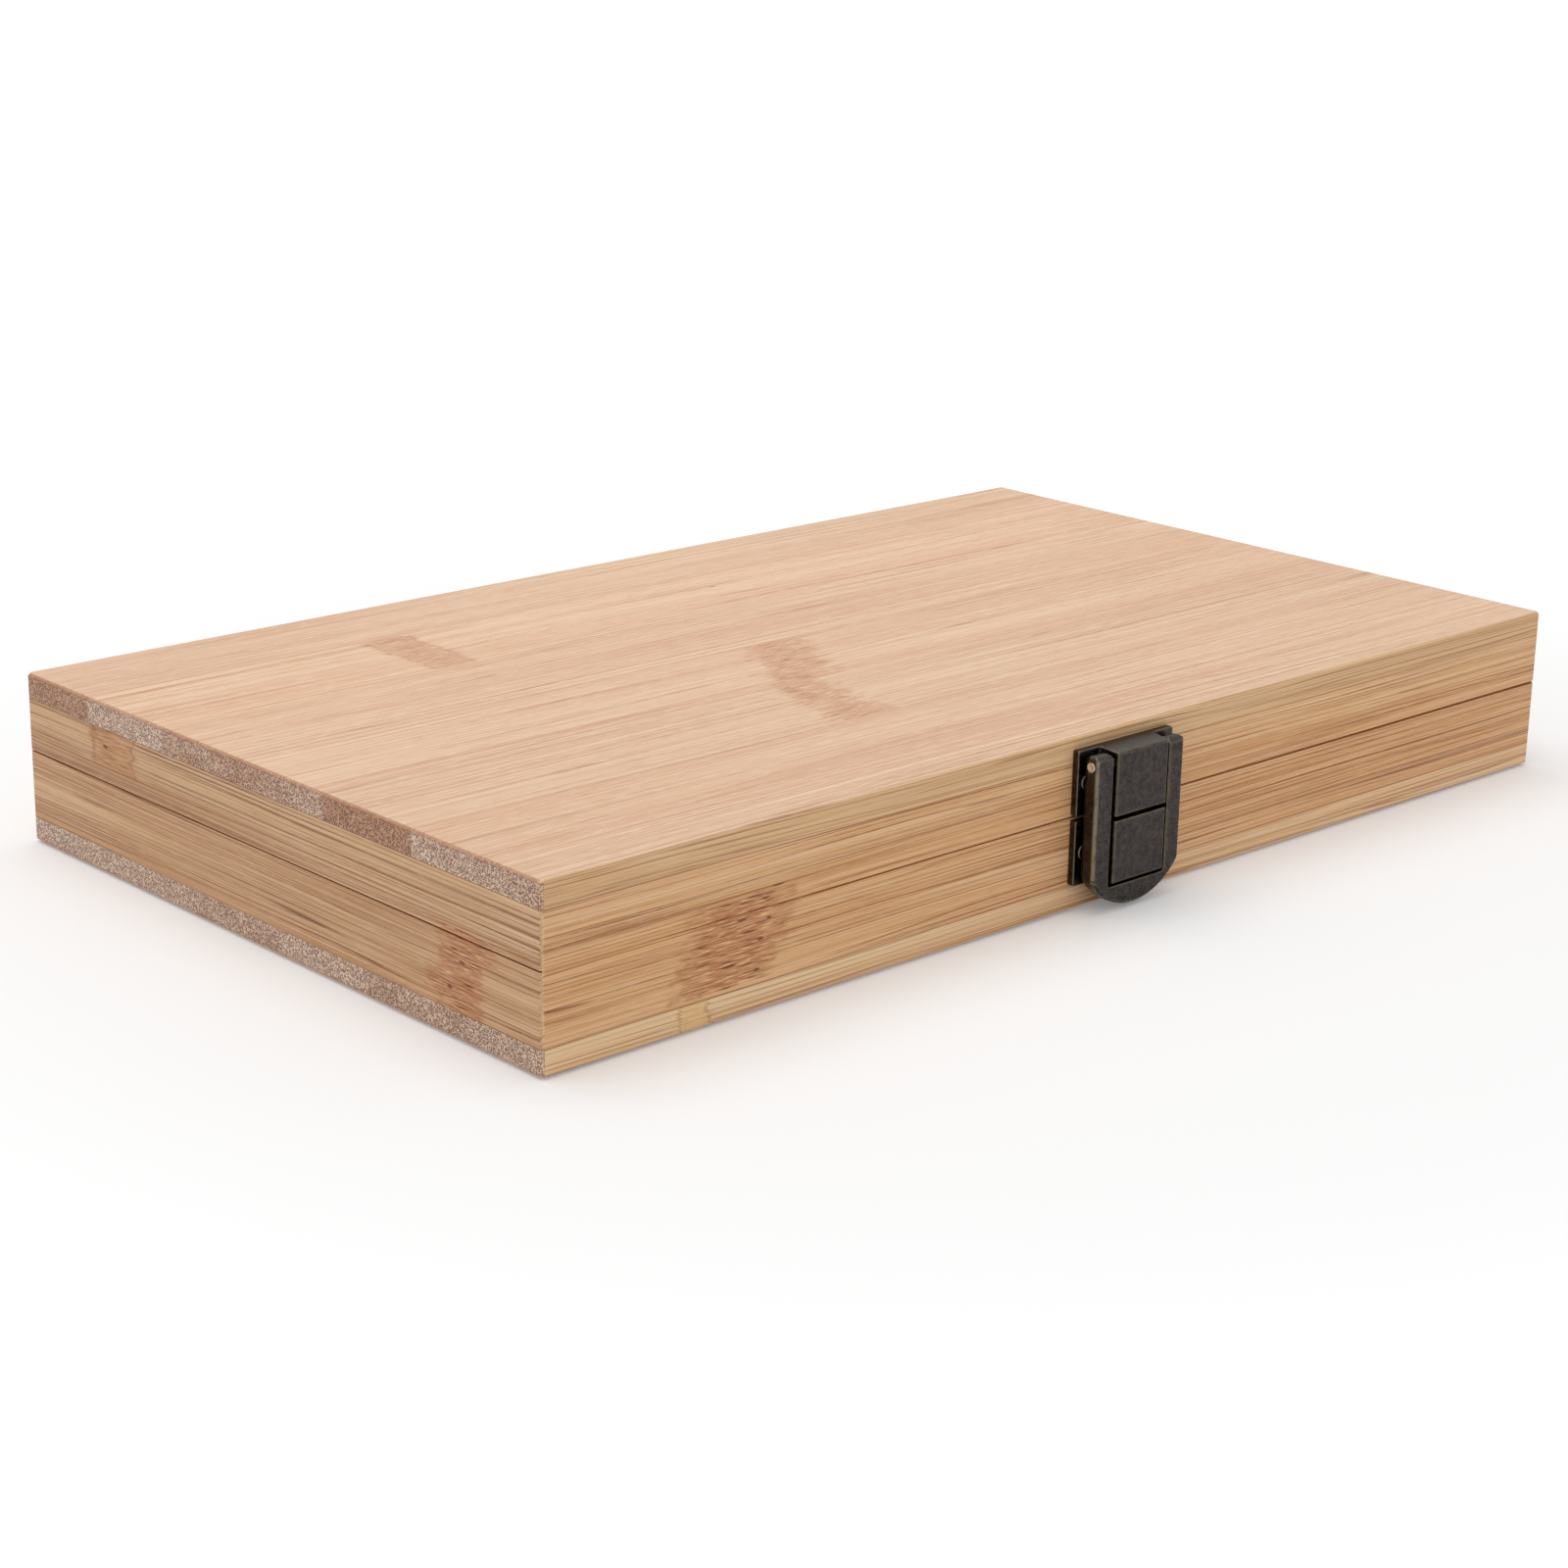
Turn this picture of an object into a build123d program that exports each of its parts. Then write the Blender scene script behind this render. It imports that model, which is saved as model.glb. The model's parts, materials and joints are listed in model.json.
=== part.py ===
from build123d import *
import math
import os

# Watercolour palette box in bamboo, with a hinged lid and a snap latch.
# Millimetres. +X runs along the case to the right, -Y is the latch side, +Z is up.
# The origin is the centre of the underside.

# Case: two boxes of four mitred walls and a panel, sawn apart from one closed box
case_length = 240.0
case_depth = 140.0
panel_thickness = 4.4
wall_thickness = 6.0
base_wall_height = 11.8
lid_wall_height = 9.15
saw_gap = 0.25  # left between the two rims
corner_chamfer = 0.6  # upright outer edges
edge_chamfer = 0.4  # outer edges of the two panels

# Half pans: cups with a rim that overhangs the rails beside them
pan_length = 19.0  # across the box, over the rim
pan_width = 16.0  # along the box, over the rim
pan_height = 10.0
pan_wall = 0.9
pan_floor = 1.1
pan_rim_height = 1.0
pan_rim_overhang = 0.6
pan_rim_radius = 1.2
pan_corner_chamfer = 0.8  # of the cup, inside and outside
pan_draft = 3.0  # degrees
pan_gap = 0.4  # between neighbours in a row
pan_rows = 2
pan_side_clearance = 0.3  # between a cup and the rail beside it
pan_lift_clearance = 0.3  # between the rim and the top of the rail

# Rails and divider, strips of bamboo on edge
rail_width = 2.6
rail_chamfer = 0.3
sponge_room = 26.0  # least length of the compartment beyond the pans
brush_trough_width = 20.0

# Mixing tray: one white moulding with a row of wells whose floors slope to the front
tray_height = 9.6
tray_floor = 1.6  # at the deep end of a well
tray_slope_rise = 3.4  # of a well's floor, from its deep end to its shallow end
tray_web = 2.0  # between two wells, and round them
tray_wells = 5
tray_corner_radius = 2.5
tray_fillet = 3.0  # at the ends of a well's floor
tray_clearance = 0.3  # round the tray

# Latch: a plate with a raised block on each half of the case, and a swinging clasp
latch_offset = 1.5  # its middle stands a little right of the case's middle
latch_plate_margin = 0.85  # of a plate beyond the clasp, at each side
latch_plate_thickness = 1.3
latch_plate_corner = 0.4
latch_rim_inset = 0.25  # from a rim of the case to the plate beside it
latch_top_margin = 2.1  # from the lid's top to the plate
block_width = 13.2  # at its foot
block_rise = 3.9  # in front of the plate
block_draft = 6.0  # degrees
block_rim_overlap = 0.1  # how far a block passes its plate towards the seam
block_edge_chamfer = 0.2

# Clasp: a frame of two arms and a round tongue
clasp_width = 21.5
clasp_thickness = 2.95
clasp_window_width = 13.7
clasp_foot_clearance = 0.4  # from the tongue's end to the underside's level
clasp_tongue = 4.0  # from the tongue's end to the window
clasp_shoulder = 5.6  # from the tongue's end to where its sides turn straight
clasp_shoulder_radius = 1.6
clasp_bevel = 0.5  # round the outer front edge
clasp_step = 0.35  # the back of the frame is this much narrower all round
clasp_step_depth = 0.8
clasp_end_radius = 1.85  # of the arms' ends about the pin
clasp_end_corner = 0.9
clasp_window_corner = 0.4
catch_play = 0.25  # between the tongue and the lower block
clasp_pin_radius = 0.85
clasp_pin_out = 3.3  # from the front of the case to the pin
clasp_pin_drop = 4.5  # from the lid's top to the pin
clasp_pin_proud = 0.1  # at each end
clasp_pin_clearance = 0.06

# Butt hinges, on the back of the case
hinge_length = 20.0
hinge_leaf_height = 9.0
hinge_leaf_thickness = 0.8
hinge_leaf_corner = 1.5
hinge_pin_radius = 0.7
hinge_pin_clearance = 0.05  # in the lid leaf's knuckle
hinge_knuckle_gap = 0.2
hinge_middle_knuckle = 7.2
hinge_end_inset = 45.0  # from an end of the case to the hinge's middle
hinge_nail_spacing = 12.0
hinge_nail_drop = 5.6  # from the seam to the nails

# Nails, in hinges and latch
nail_head_radius = 1.3
nail_head_height = 0.3
nail_shank_width = 0.9  # the shank is square
nail_length = 4.6
nail_hole_clearance = 0.1  # round the shank, in the metal
latch_nail_inset = 2.2  # from a nail to the side of its plate

# Levels and spans worked out from the sizes above
base_rim = panel_thickness + base_wall_height
lid_rim = base_rim + saw_gap
lid_wall_top = lid_rim + lid_wall_height
lid_top = lid_wall_top + panel_thickness
seam = base_rim + saw_gap / 2
inner_length = case_length - 2 * wall_thickness
inner_depth = case_depth - 2 * wall_thickness
front_face = -case_depth / 2
back_face = case_depth / 2
inner_left = -inner_length / 2
inner_right = inner_length / 2
inner_front = -inner_depth / 2
inner_back = inner_depth / 2

pan_pitch = pan_width + pan_gap
pan_body_length = pan_length - 2 * pan_rim_overhang
pan_body_width = pan_width - 2 * pan_rim_overhang
pans_per_row = math.floor((inner_length - rail_width - sponge_room) / pan_pitch)
pan_bed_length = pans_per_row * pan_pitch + pan_gap
trough_width = pan_body_length + 2 * pan_side_clearance
row_pitch = trough_width + rail_width
rail_height = pan_height - pan_rim_height - pan_lift_clearance
front_rail_y = inner_back - rail_width / 2 - pan_rows * row_pitch
tray_back = front_rail_y - rail_width / 2 - brush_trough_width
tray_length = inner_length - 2 * tray_clearance
tray_depth = tray_back - inner_front - tray_clearance

latch_plate_width = clasp_width + 2 * latch_plate_margin
latch_nail_out = latch_plate_width / 2 - latch_nail_inset
clasp_bottom = clasp_foot_clearance
window_bottom = clasp_bottom + clasp_tongue
clasp_back = clasp_pin_out - clasp_thickness / 2
clasp_pin_height = lid_top - clasp_pin_drop
block_bottom = window_bottom + catch_play
block_top = lid_top - latch_top_margin
hinge_knuckle_radius = hinge_pin_radius + hinge_pin_clearance + hinge_leaf_thickness


def eased_rectangle(width, length, ease):
    """A rectangle with its four corners cut off at 45 degrees."""
    outline = Rectangle(width, length)
    return chamfer(outline.vertices(), ease)


# Case

def case_block(bottom, height):
    """The full plan of the case with its upright edges eased."""
    outline = eased_rectangle(case_length, case_depth, corner_chamfer)
    return Pos(0, 0, bottom) * extrude(outline, amount=height)


def panel(bottom, outer_face_up):
    """A top or bottom panel, with the edges of its outer face eased."""
    board = case_block(bottom, panel_thickness)
    outer_face = board.faces().sort_by(Axis.Z)[-1 if outer_face_up else 0]
    return chamfer(outer_face.edges(), edge_chamfer)


def mitred_walls(bottom, height):
    """Four walls, cut from one ring along the diagonals at its corners."""
    ring = case_block(bottom, height)
    ring -= Pos(0, 0, bottom) * extrude(Rectangle(inner_length, inner_depth), amount=height)
    ridge = (case_length - case_depth) / 2
    left = -case_length / 2
    right = case_length / 2
    outlines = {
        "front": [(left, front_face), (right, front_face), (ridge, 0), (-ridge, 0)],
        "back": [(right, back_face), (left, back_face), (-ridge, 0), (ridge, 0)],
        "left": [(left, back_face), (left, front_face), (-ridge, 0)],
        "right": [(right, front_face), (right, back_face), (ridge, 0)],
    }
    walls = {}
    for side, points in outlines.items():
        wedge = extrude(make_face(Polyline(*points, close=True)), amount=height)
        walls[side] = ring & (Pos(0, 0, bottom) * wedge)
    return walls


# Inside the base

def rail(x_from, x_to, y_middle):
    """A strip on edge along the box, with its top edges eased."""
    length = x_to - x_from
    profile = Rectangle(rail_width, rail_height, align=(Align.CENTER, Align.MIN))
    top_corners = profile.vertices().group_by(Axis.Y)[-1]
    profile = chamfer(top_corners, rail_chamfer)
    along_x = Plane(origin=(x_from, y_middle, panel_thickness), x_dir=(0, 1, 0), z_dir=(1, 0, 0))
    return along_x * extrude(profile, amount=length)


def divider():
    """The strip across the ends of the pan rows."""
    start = front_rail_y + rail_width / 2
    profile = Rectangle(rail_width, rail_height, align=(Align.MIN, Align.MIN))
    top_corners = profile.vertices().group_by(Axis.Y)[-1]
    profile = chamfer(top_corners, rail_chamfer)
    left = inner_left + pan_bed_length
    along_y = Plane(origin=(left, inner_back, panel_thickness), x_dir=(1, 0, 0), z_dir=(0, -1, 0))
    return along_y * extrude(profile, amount=inner_back - start)


def cup_form(width, length, depth):
    """A block with eased corners that stands on z = 0 and has its full size at the top."""
    top = eased_rectangle(width, length, pan_corner_chamfer)
    upside_down = Pos(0, 0, depth) * Rot(180, 0, 0)
    return upside_down * extrude(top, amount=depth, taper=pan_draft)


def half_pan():
    """One cup with drafted sides and a rim, standing on z = 0."""
    cup = cup_form(pan_body_width, pan_body_length, pan_height)
    rim = RectangleRounded(pan_width, pan_length, pan_rim_radius)
    cup += Pos(0, 0, pan_height - pan_rim_height) * extrude(rim, amount=pan_rim_height)
    hollow_width = pan_body_width - 2 * pan_wall
    hollow_length = pan_body_length - 2 * pan_wall
    hollow = cup_form(hollow_width, hollow_length, pan_height - pan_floor)
    return cup - Pos(0, 0, pan_floor) * hollow


def pan_places():
    """The middle of each pan, row by row from the back and from left to right."""
    for row in range(pan_rows):
        y_middle = inner_back - rail_width - trough_width / 2 - row * row_pitch
        for place in range(pans_per_row):
            x_middle = inner_left + pan_gap + pan_width / 2 + place * pan_pitch
            yield x_middle, y_middle


def tray_well(length, width):
    """The room of one well: its floor slopes down to the front and is rounded at both ends."""
    high = tray_floor + tray_slope_rise
    points = [
        (-width / 2, tray_height), (-width / 2, tray_floor),
        (width / 2, high), (width / 2, tray_height),
    ]
    profile = make_face(Polyline(*points, close=True))
    floor_ends = profile.vertices().sort_by(Axis.Y)[:2]
    profile = fillet(floor_ends, tray_fillet)
    across = Plane(origin=(-length / 2, 0, 0), x_dir=(0, 1, 0), z_dir=(1, 0, 0))
    return across * extrude(profile, amount=length)


def mixing_tray():
    """The moulding with its row of wells, standing on the bottom panel."""
    outline = RectangleRounded(tray_length, tray_depth, tray_corner_radius)
    tray = extrude(outline, amount=tray_height)
    well_length = (tray_length - (tray_wells + 1) * tray_web) / tray_wells
    well = tray_well(well_length, tray_depth - 2 * tray_web)
    first = -tray_length / 2 + tray_web + well_length / 2
    for number in range(tray_wells):
        tray -= Pos(first + number * (well_length + tray_web), 0, 0) * well
    y_middle = inner_front + tray_clearance + tray_depth / 2
    return Pos(0, y_middle, panel_thickness) * tray


# Nails

def nail():
    """A nail that points down, with the underside of its head at z = 0."""
    on_foot = (Align.CENTER, Align.CENTER, Align.MIN)
    head = Cylinder(nail_head_radius, nail_head_height, align=on_foot)
    hanging = (Align.CENTER, Align.CENTER, Align.MAX)
    return head + Box(nail_shank_width, nail_shank_width, nail_length, align=hanging)


def nails_in_face(places, outwards):
    """Nails whose heads point outwards, at the given points under their heads."""
    return [Plane(origin=place, z_dir=outwards) * nail() for place in places]


def nail_holes(nails, outwards):
    """The room that the nails need in the metal under their heads."""
    width = nail_shank_width + 2 * nail_hole_clearance
    holes = []
    for one in nails:
        foot = one.bounding_box().center()
        holes.append(Plane(origin=foot, z_dir=outwards) * Box(width, width, 2 * nail_length))
    return holes


def without(solid, tools):
    """The solid with each tool cut out of it."""
    for tool in tools:
        solid -= tool
    return solid


# Latch, drawn on the front face: x across the box, y up, z out of the face

FORWARD = (0, -1, 0)
latch_face = Plane(origin=(latch_offset, front_face, 0), x_dir=(1, 0, 0), z_dir=FORWARD)


def latch_nails(low, high):
    """A pair of nails, half way up a plate that spans the two heights."""
    out = front_face - latch_plate_thickness
    height = (low + high) / 2
    places = [(latch_offset + side * latch_nail_out, out, height) for side in (-1, 1)]
    return nails_in_face(places, FORWARD)


def latch_plate(low, high, block_low, block_high, seam_side):
    """A plate with its drafted block. The block's face at the seam stays square."""
    outline = RectangleRounded(latch_plate_width, high - low, latch_plate_corner)
    plate = Pos(0, (low + high) / 2, 0) * extrude(outline, amount=latch_plate_thickness)
    spare = block_rise
    foot_low = block_low - (spare if seam_side == "low" else 0)
    foot_high = block_high + (spare if seam_side == "high" else 0)
    foot = Rectangle(block_width, foot_high - foot_low)
    block = extrude(foot, amount=block_rise, taper=block_draft)
    front = block.faces().sort_by(Axis.Z)[-1]
    block = chamfer(front.edges(), block_edge_chamfer)
    block = Pos(0, (foot_low + foot_high) / 2, latch_plate_thickness) * block
    keep = Rectangle(2 * block_width, block_high - block_low)
    keep = extrude(keep, amount=2 * (block_rise + latch_plate_thickness))
    block &= Pos(0, (block_low + block_high) / 2, 0) * keep
    return plate + block


def lid_latch_plate(nails):
    """The upper plate, bored for the pin."""
    low = lid_rim + latch_rim_inset
    plate = latch_plate(low, block_top, low - block_rim_overlap, block_top, "low")
    plate = latch_face * plate
    bore = Rot(0, 90, 0) * Cylinder(clasp_pin_radius, 2 * block_width)
    plate -= Pos(latch_offset, front_face - clasp_pin_out, clasp_pin_height) * bore
    return without(plate, nail_holes(nails, FORWARD))


def base_latch_plate(nails):
    """The lower plate, whose block the tongue hooks under."""
    high = base_rim - latch_rim_inset
    low = block_bottom + block_rim_overlap
    plate = latch_plate(low, high, block_bottom, high - block_rim_overlap, "high")
    return without(latch_face * plate, nail_holes(nails, FORWARD))


def clasp_outline(top):
    """The frame's outer outline up to the given height: straight arms and a bowed tongue."""
    half = clasp_width / 2
    shoulder = clasp_bottom + clasp_shoulder
    tongue = ThreePointArc((-half, shoulder), (0, clasp_bottom), (half, shoulder))
    arms = Polyline((half, shoulder), (half, top), (-half, top), (-half, shoulder))
    outline = make_face([tongue, arms])
    shoulders = outline.vertices().group_by(Axis.Y)[0]
    return fillet(shoulders, clasp_shoulder_radius)


def clasp_front_view():
    """The frame as seen from the front, with its window and the rounded ends of its arms."""
    top = clasp_pin_height + clasp_end_radius
    room = (Align.CENTER, Align.MIN)
    window = Rectangle(clasp_window_width, 2 * (top - window_bottom), align=room)
    window = fillet(window.vertices().group_by(Axis.Y)[0], clasp_window_corner)
    frame = clasp_outline(top) - Pos(0, window_bottom) * window
    return fillet(frame.vertices().group_by(Axis.Y)[-1], clasp_end_corner)


def clasp():
    """The swinging frame: bevelled in front, stepped behind, bored at its arms' ends."""
    above = lid_top + clasp_end_radius
    body = extrude(clasp_outline(above), amount=clasp_thickness - clasp_step_depth)
    body = chamfer(body.faces().sort_by(Axis.Z)[-1].edges(), clasp_bevel)
    body = Pos(0, 0, clasp_step_depth) * body
    body += extrude(offset(clasp_outline(above), amount=-clasp_step), amount=clasp_step_depth)
    body &= extrude(clasp_front_view(), amount=clasp_thickness)
    body = latch_face * (Pos(0, 0, clasp_back) * body)
    pin_middle = Pos(latch_offset, front_face - clasp_pin_out, clasp_pin_height)
    along_x = Rot(0, 90, 0)
    below = (Align.CENTER, Align.CENTER, Align.MAX)
    keep = pin_middle * along_x * Cylinder(clasp_end_radius, 2 * clasp_width)
    keep += pin_middle * Box(2 * clasp_width, 4 * clasp_thickness, lid_top, align=below)
    bore = Cylinder(clasp_pin_radius + clasp_pin_clearance, 2 * clasp_width)
    return (body & keep) - pin_middle * along_x * bore


def clasp_pin():
    """The steel pin, held by the upper block, with its ends just proud of the arms."""
    pin = Cylinder(clasp_pin_radius, clasp_width + 2 * clasp_pin_proud)
    return Pos(latch_offset, front_face - clasp_pin_out, clasp_pin_height) * Rot(0, 90, 0) * pin


# Hinges, drawn across the box: x out of the back face, y up from the seam, z along the pin

BACKWARD = (0, 1, 0)


def hinge_frame(x_start):
    """The plane of a hinge's cross-section at the given place along the box."""
    return Plane(origin=(x_start, back_face, seam), x_dir=(0, 1, 0), z_dir=(1, 0, 0))


def knuckle_spans(middle):
    """Where the middle knuckle lies along the hinge, or else the two outer ones."""
    half = hinge_length / 2
    inner = hinge_middle_knuckle / 2
    if middle:
        return [(-inner, inner)]
    return [(-half, -inner - hinge_knuckle_gap), (inner + hinge_knuckle_gap, half)]


def hinge_leaf(x_middle, upwards, middle, bore_radius, nails):
    """A leaf with one or two curled knuckles, on the lid's or the base's side of the seam."""
    side = 1 if upwards else -1
    root = hinge_knuckle_radius + hinge_knuckle_gap
    flat_height = hinge_leaf_height - root
    flat = Rectangle(hinge_length, flat_height)
    far_corners = flat.vertices().group_by(Axis.Y)[-1]
    flat = fillet(far_corners, hinge_leaf_corner)
    flat = extrude(flat, amount=hinge_leaf_thickness)
    if not upwards:
        flat = Rot(0, 0, 180) * flat
    centre_height = seam + side * (root + flat_height / 2)
    leaf = Plane(origin=(x_middle, back_face, centre_height), x_dir=(-1, 0, 0), z_dir=BACKWARD) * flat
    ring = Pos(hinge_knuckle_radius, 0) * Circle(hinge_knuckle_radius)
    neck_align = (Align.MIN, Align.MIN if upwards else Align.MAX)
    ring += Rectangle(hinge_leaf_thickness, root, align=neck_align)
    ring -= Pos(hinge_knuckle_radius, 0) * Circle(bore_radius)
    for start, end in knuckle_spans(middle):
        leaf += hinge_frame(x_middle + start) * extrude(ring, amount=end - start)
    return without(leaf, nail_holes(nails, BACKWARD))


def hinge_pin(x_middle):
    """The wire that the base's knuckles grip and the lid's knuckle turns on."""
    wire = Pos(hinge_knuckle_radius, 0) * Circle(hinge_pin_radius)
    return hinge_frame(x_middle - hinge_length / 2) * extrude(wire, amount=hinge_length)


def hinge_nails(x_middle, upwards):
    """A pair of nails through a leaf."""
    out = back_face + hinge_leaf_thickness
    height = seam + (hinge_nail_drop if upwards else -hinge_nail_drop)
    sides = (-hinge_nail_spacing / 2, hinge_nail_spacing / 2)
    places = [(x_middle + side, out, height) for side in sides]
    return nails_in_face(places, BACKWARD)


def build():
    """Every sub-part under the name of its node."""
    nodes = {}
    base_walls = mitred_walls(panel_thickness, base_wall_height)
    lid_walls = mitred_walls(lid_rim, lid_wall_height)
    nodes["base_bottom_panel"] = panel(0, False)
    nodes["lid_top_panel"] = panel(lid_wall_top, True)

    base_plate_nails = latch_nails(block_bottom + block_rim_overlap, base_rim - latch_rim_inset)
    lid_plate_nails = latch_nails(lid_rim + latch_rim_inset, block_top)
    nodes["latch_base_plate"] = base_latch_plate(base_plate_nails)
    nodes["latch_lid_plate"] = lid_latch_plate(lid_plate_nails)
    nodes["latch_clasp"] = clasp()
    nodes["latch_pin"] = clasp_pin()
    nodes["latch_base_nails"] = Compound(base_plate_nails)
    nodes["latch_lid_nails"] = Compound(lid_plate_nails)
    base_walls["front"] = without(base_walls["front"], base_plate_nails)
    lid_walls["front"] = without(lid_walls["front"], lid_plate_nails)

    hinge_middle = case_length / 2 - hinge_end_inset
    running_bore = hinge_pin_radius + hinge_pin_clearance
    for name, x_middle in (("left", -hinge_middle), ("right", hinge_middle)):
        low_nails = hinge_nails(x_middle, False)
        high_nails = hinge_nails(x_middle, True)
        base_leaf = hinge_leaf(x_middle, False, False, hinge_pin_radius, low_nails)
        nodes[f"{name}_hinge_base_leaf"] = base_leaf
        nodes[f"{name}_hinge_lid_leaf"] = hinge_leaf(x_middle, True, True, running_bore, high_nails)
        nodes[f"{name}_hinge_pin"] = hinge_pin(x_middle)
        nodes[f"{name}_hinge_base_nails"] = Compound(low_nails)
        nodes[f"{name}_hinge_lid_nails"] = Compound(high_nails)
        base_walls["back"] = without(base_walls["back"], low_nails)
        lid_walls["back"] = without(lid_walls["back"], high_nails)

    for side, wall in base_walls.items():
        nodes[f"base_{side}_wall"] = wall
    for side, wall in lid_walls.items():
        nodes[f"lid_{side}_wall"] = wall

    nodes["front_rail"] = rail(inner_left, inner_right, front_rail_y)
    nodes["middle_rail"] = rail(inner_left, inner_left + pan_bed_length, front_rail_y + row_pitch)
    back_rail_y = front_rail_y + pan_rows * row_pitch
    nodes["back_rail"] = rail(inner_left, inner_left + pan_bed_length, back_rail_y)
    nodes["pan_divider"] = divider()
    for number, (x_middle, y_middle) in enumerate(pan_places(), start=1):
        nodes[f"half_pan_{number:02d}"] = Pos(x_middle, y_middle, panel_thickness) * half_pan()
    nodes["mixing_tray"] = mixing_tray()
    return nodes


os.makedirs("parts", exist_ok=True)
for node_name, node_shape in build().items():
    export_step(node_shape, f"parts/{node_name}.step")
    print(node_name, "volume", round(node_shape.volume, 2))
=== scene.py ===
# %% [markdown]
# # Watercolour palette box
# A flat bamboo box with a dark snap latch on its front. It was glued up as one closed box and then
# sawn into a base and a lid, so the grain runs on across the seam. Inside are troughs of half pans
# and a mixing tray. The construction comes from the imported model, which is loaded first and never
# moved. This script gives it its looks: bamboo, cast bronze, steel and white plastic.

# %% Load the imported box
import json
import math

import bmesh
import bpy
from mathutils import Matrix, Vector

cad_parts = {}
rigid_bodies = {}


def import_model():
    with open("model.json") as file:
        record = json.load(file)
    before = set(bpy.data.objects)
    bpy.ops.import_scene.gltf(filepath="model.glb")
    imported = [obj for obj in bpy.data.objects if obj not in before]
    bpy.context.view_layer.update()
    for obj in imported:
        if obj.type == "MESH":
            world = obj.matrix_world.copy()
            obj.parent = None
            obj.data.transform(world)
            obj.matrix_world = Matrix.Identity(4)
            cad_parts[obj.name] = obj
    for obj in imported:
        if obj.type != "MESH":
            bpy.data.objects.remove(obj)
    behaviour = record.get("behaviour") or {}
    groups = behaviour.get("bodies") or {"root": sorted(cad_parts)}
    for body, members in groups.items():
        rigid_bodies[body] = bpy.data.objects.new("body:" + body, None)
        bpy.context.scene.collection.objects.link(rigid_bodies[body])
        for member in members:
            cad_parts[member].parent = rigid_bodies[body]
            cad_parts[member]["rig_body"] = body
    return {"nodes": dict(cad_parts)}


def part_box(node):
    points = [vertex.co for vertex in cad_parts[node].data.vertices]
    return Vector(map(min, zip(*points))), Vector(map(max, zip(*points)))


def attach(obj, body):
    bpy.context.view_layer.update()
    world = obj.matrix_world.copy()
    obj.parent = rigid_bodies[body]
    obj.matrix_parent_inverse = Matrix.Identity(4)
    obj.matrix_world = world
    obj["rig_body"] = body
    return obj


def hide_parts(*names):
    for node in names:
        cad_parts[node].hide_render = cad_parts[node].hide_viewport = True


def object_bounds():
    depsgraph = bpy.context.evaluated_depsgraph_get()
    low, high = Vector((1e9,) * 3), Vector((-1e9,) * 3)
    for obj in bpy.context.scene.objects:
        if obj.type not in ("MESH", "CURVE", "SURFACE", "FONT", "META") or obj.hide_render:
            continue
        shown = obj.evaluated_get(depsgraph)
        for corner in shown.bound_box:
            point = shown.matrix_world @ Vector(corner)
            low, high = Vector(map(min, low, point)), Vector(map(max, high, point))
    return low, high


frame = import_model()
cad_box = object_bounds()
nodes = frame["nodes"]
mm = 0.001

# %% [markdown]
# ## Camera
# The photograph looks down a little on the corner at the left end of the front. The numbers come
# from fitting a perspective camera to the corners of the box, so the lens, the place and the small
# roll are all those of the photograph. A longer lens from further off would flatten the box.

# %% Camera at the photograph's place
camera_place = Vector((-0.38313, -0.40121, 0.17808))
camera_turn = math.radians(43.02464)
camera_dip = math.radians(17.52796)
camera_roll = math.radians(1.05658)

camera_data = bpy.data.cameras.new("camera")
camera_data.lens = 73.54
camera_data.sensor_width = 36.0
camera = bpy.data.objects.new("camera", camera_data)
bpy.context.scene.collection.objects.link(camera)

look = Vector((math.sin(camera_turn) * math.cos(camera_dip),
               math.cos(camera_turn) * math.cos(camera_dip), -math.sin(camera_dip)))
level_right = Vector((math.cos(camera_turn), -math.sin(camera_turn), 0.0))
level_up = level_right.cross(look)
right = math.cos(camera_roll) * level_right + math.sin(camera_roll) * level_up
up = right.cross(look)
axes = camera.matrix_world.to_3x3()
axes.col[0], axes.col[1], axes.col[2] = right, up, -look
camera.matrix_world = axes.to_4x4()
camera.location = camera_place
bpy.context.scene.camera = camera
print("camera looks", [round(v, 3) for v in look])

# %% [markdown]
# ## Small helpers for materials
# A procedural material is a chain of small nodes. Short helpers keep that chain readable: one adds
# a node and wires its inputs, and a few do arithmetic on values and on points. Patterns are laid
# out in millimetres, read from Object coordinates, so that a number in a material can be checked
# with a ruler.

# %% Helpers for node trees
def add(tree, kind, inputs=None, **settings):
    """Adds a shader node, sets it up, and wires or fills its inputs."""
    made = tree.nodes.new("ShaderNode" + kind)
    for name, value in settings.items():
        setattr(made, name, value)
    for key, value in (inputs or {}).items():
        if isinstance(value, bpy.types.NodeSocket):
            tree.links.new(value, made.inputs[key])
        else:
            made.inputs[key].default_value = value
    return made


def maths(tree, operation, *values):
    """One step of arithmetic."""
    return add(tree, "Math", dict(enumerate(values)), operation=operation).outputs[0]


def times(tree, first, second):
    """Two values multiplied. With masks, what remains is where both are white."""
    return maths(tree, "MULTIPLY", first, second)


def distance(tree, first, second):
    """How far apart two values are."""
    return maths(tree, "ABSOLUTE", maths(tree, "SUBTRACT", first, second))


def vector_maths(tree, operation, *values):
    """One step of arithmetic on points."""
    return add(tree, "VectorMath", dict(enumerate(values)), operation=operation).outputs[0]


def length_of(tree, arrow):
    """The length of a vector."""
    return add(tree, "VectorMath", {0: arrow}, operation="LENGTH").outputs["Value"]


def in_millimetres(tree, place):
    """A place in metres as one in millimetres."""
    return vector_maths(tree, "MULTIPLY", place, (1.0 / mm,) * 3)


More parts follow.
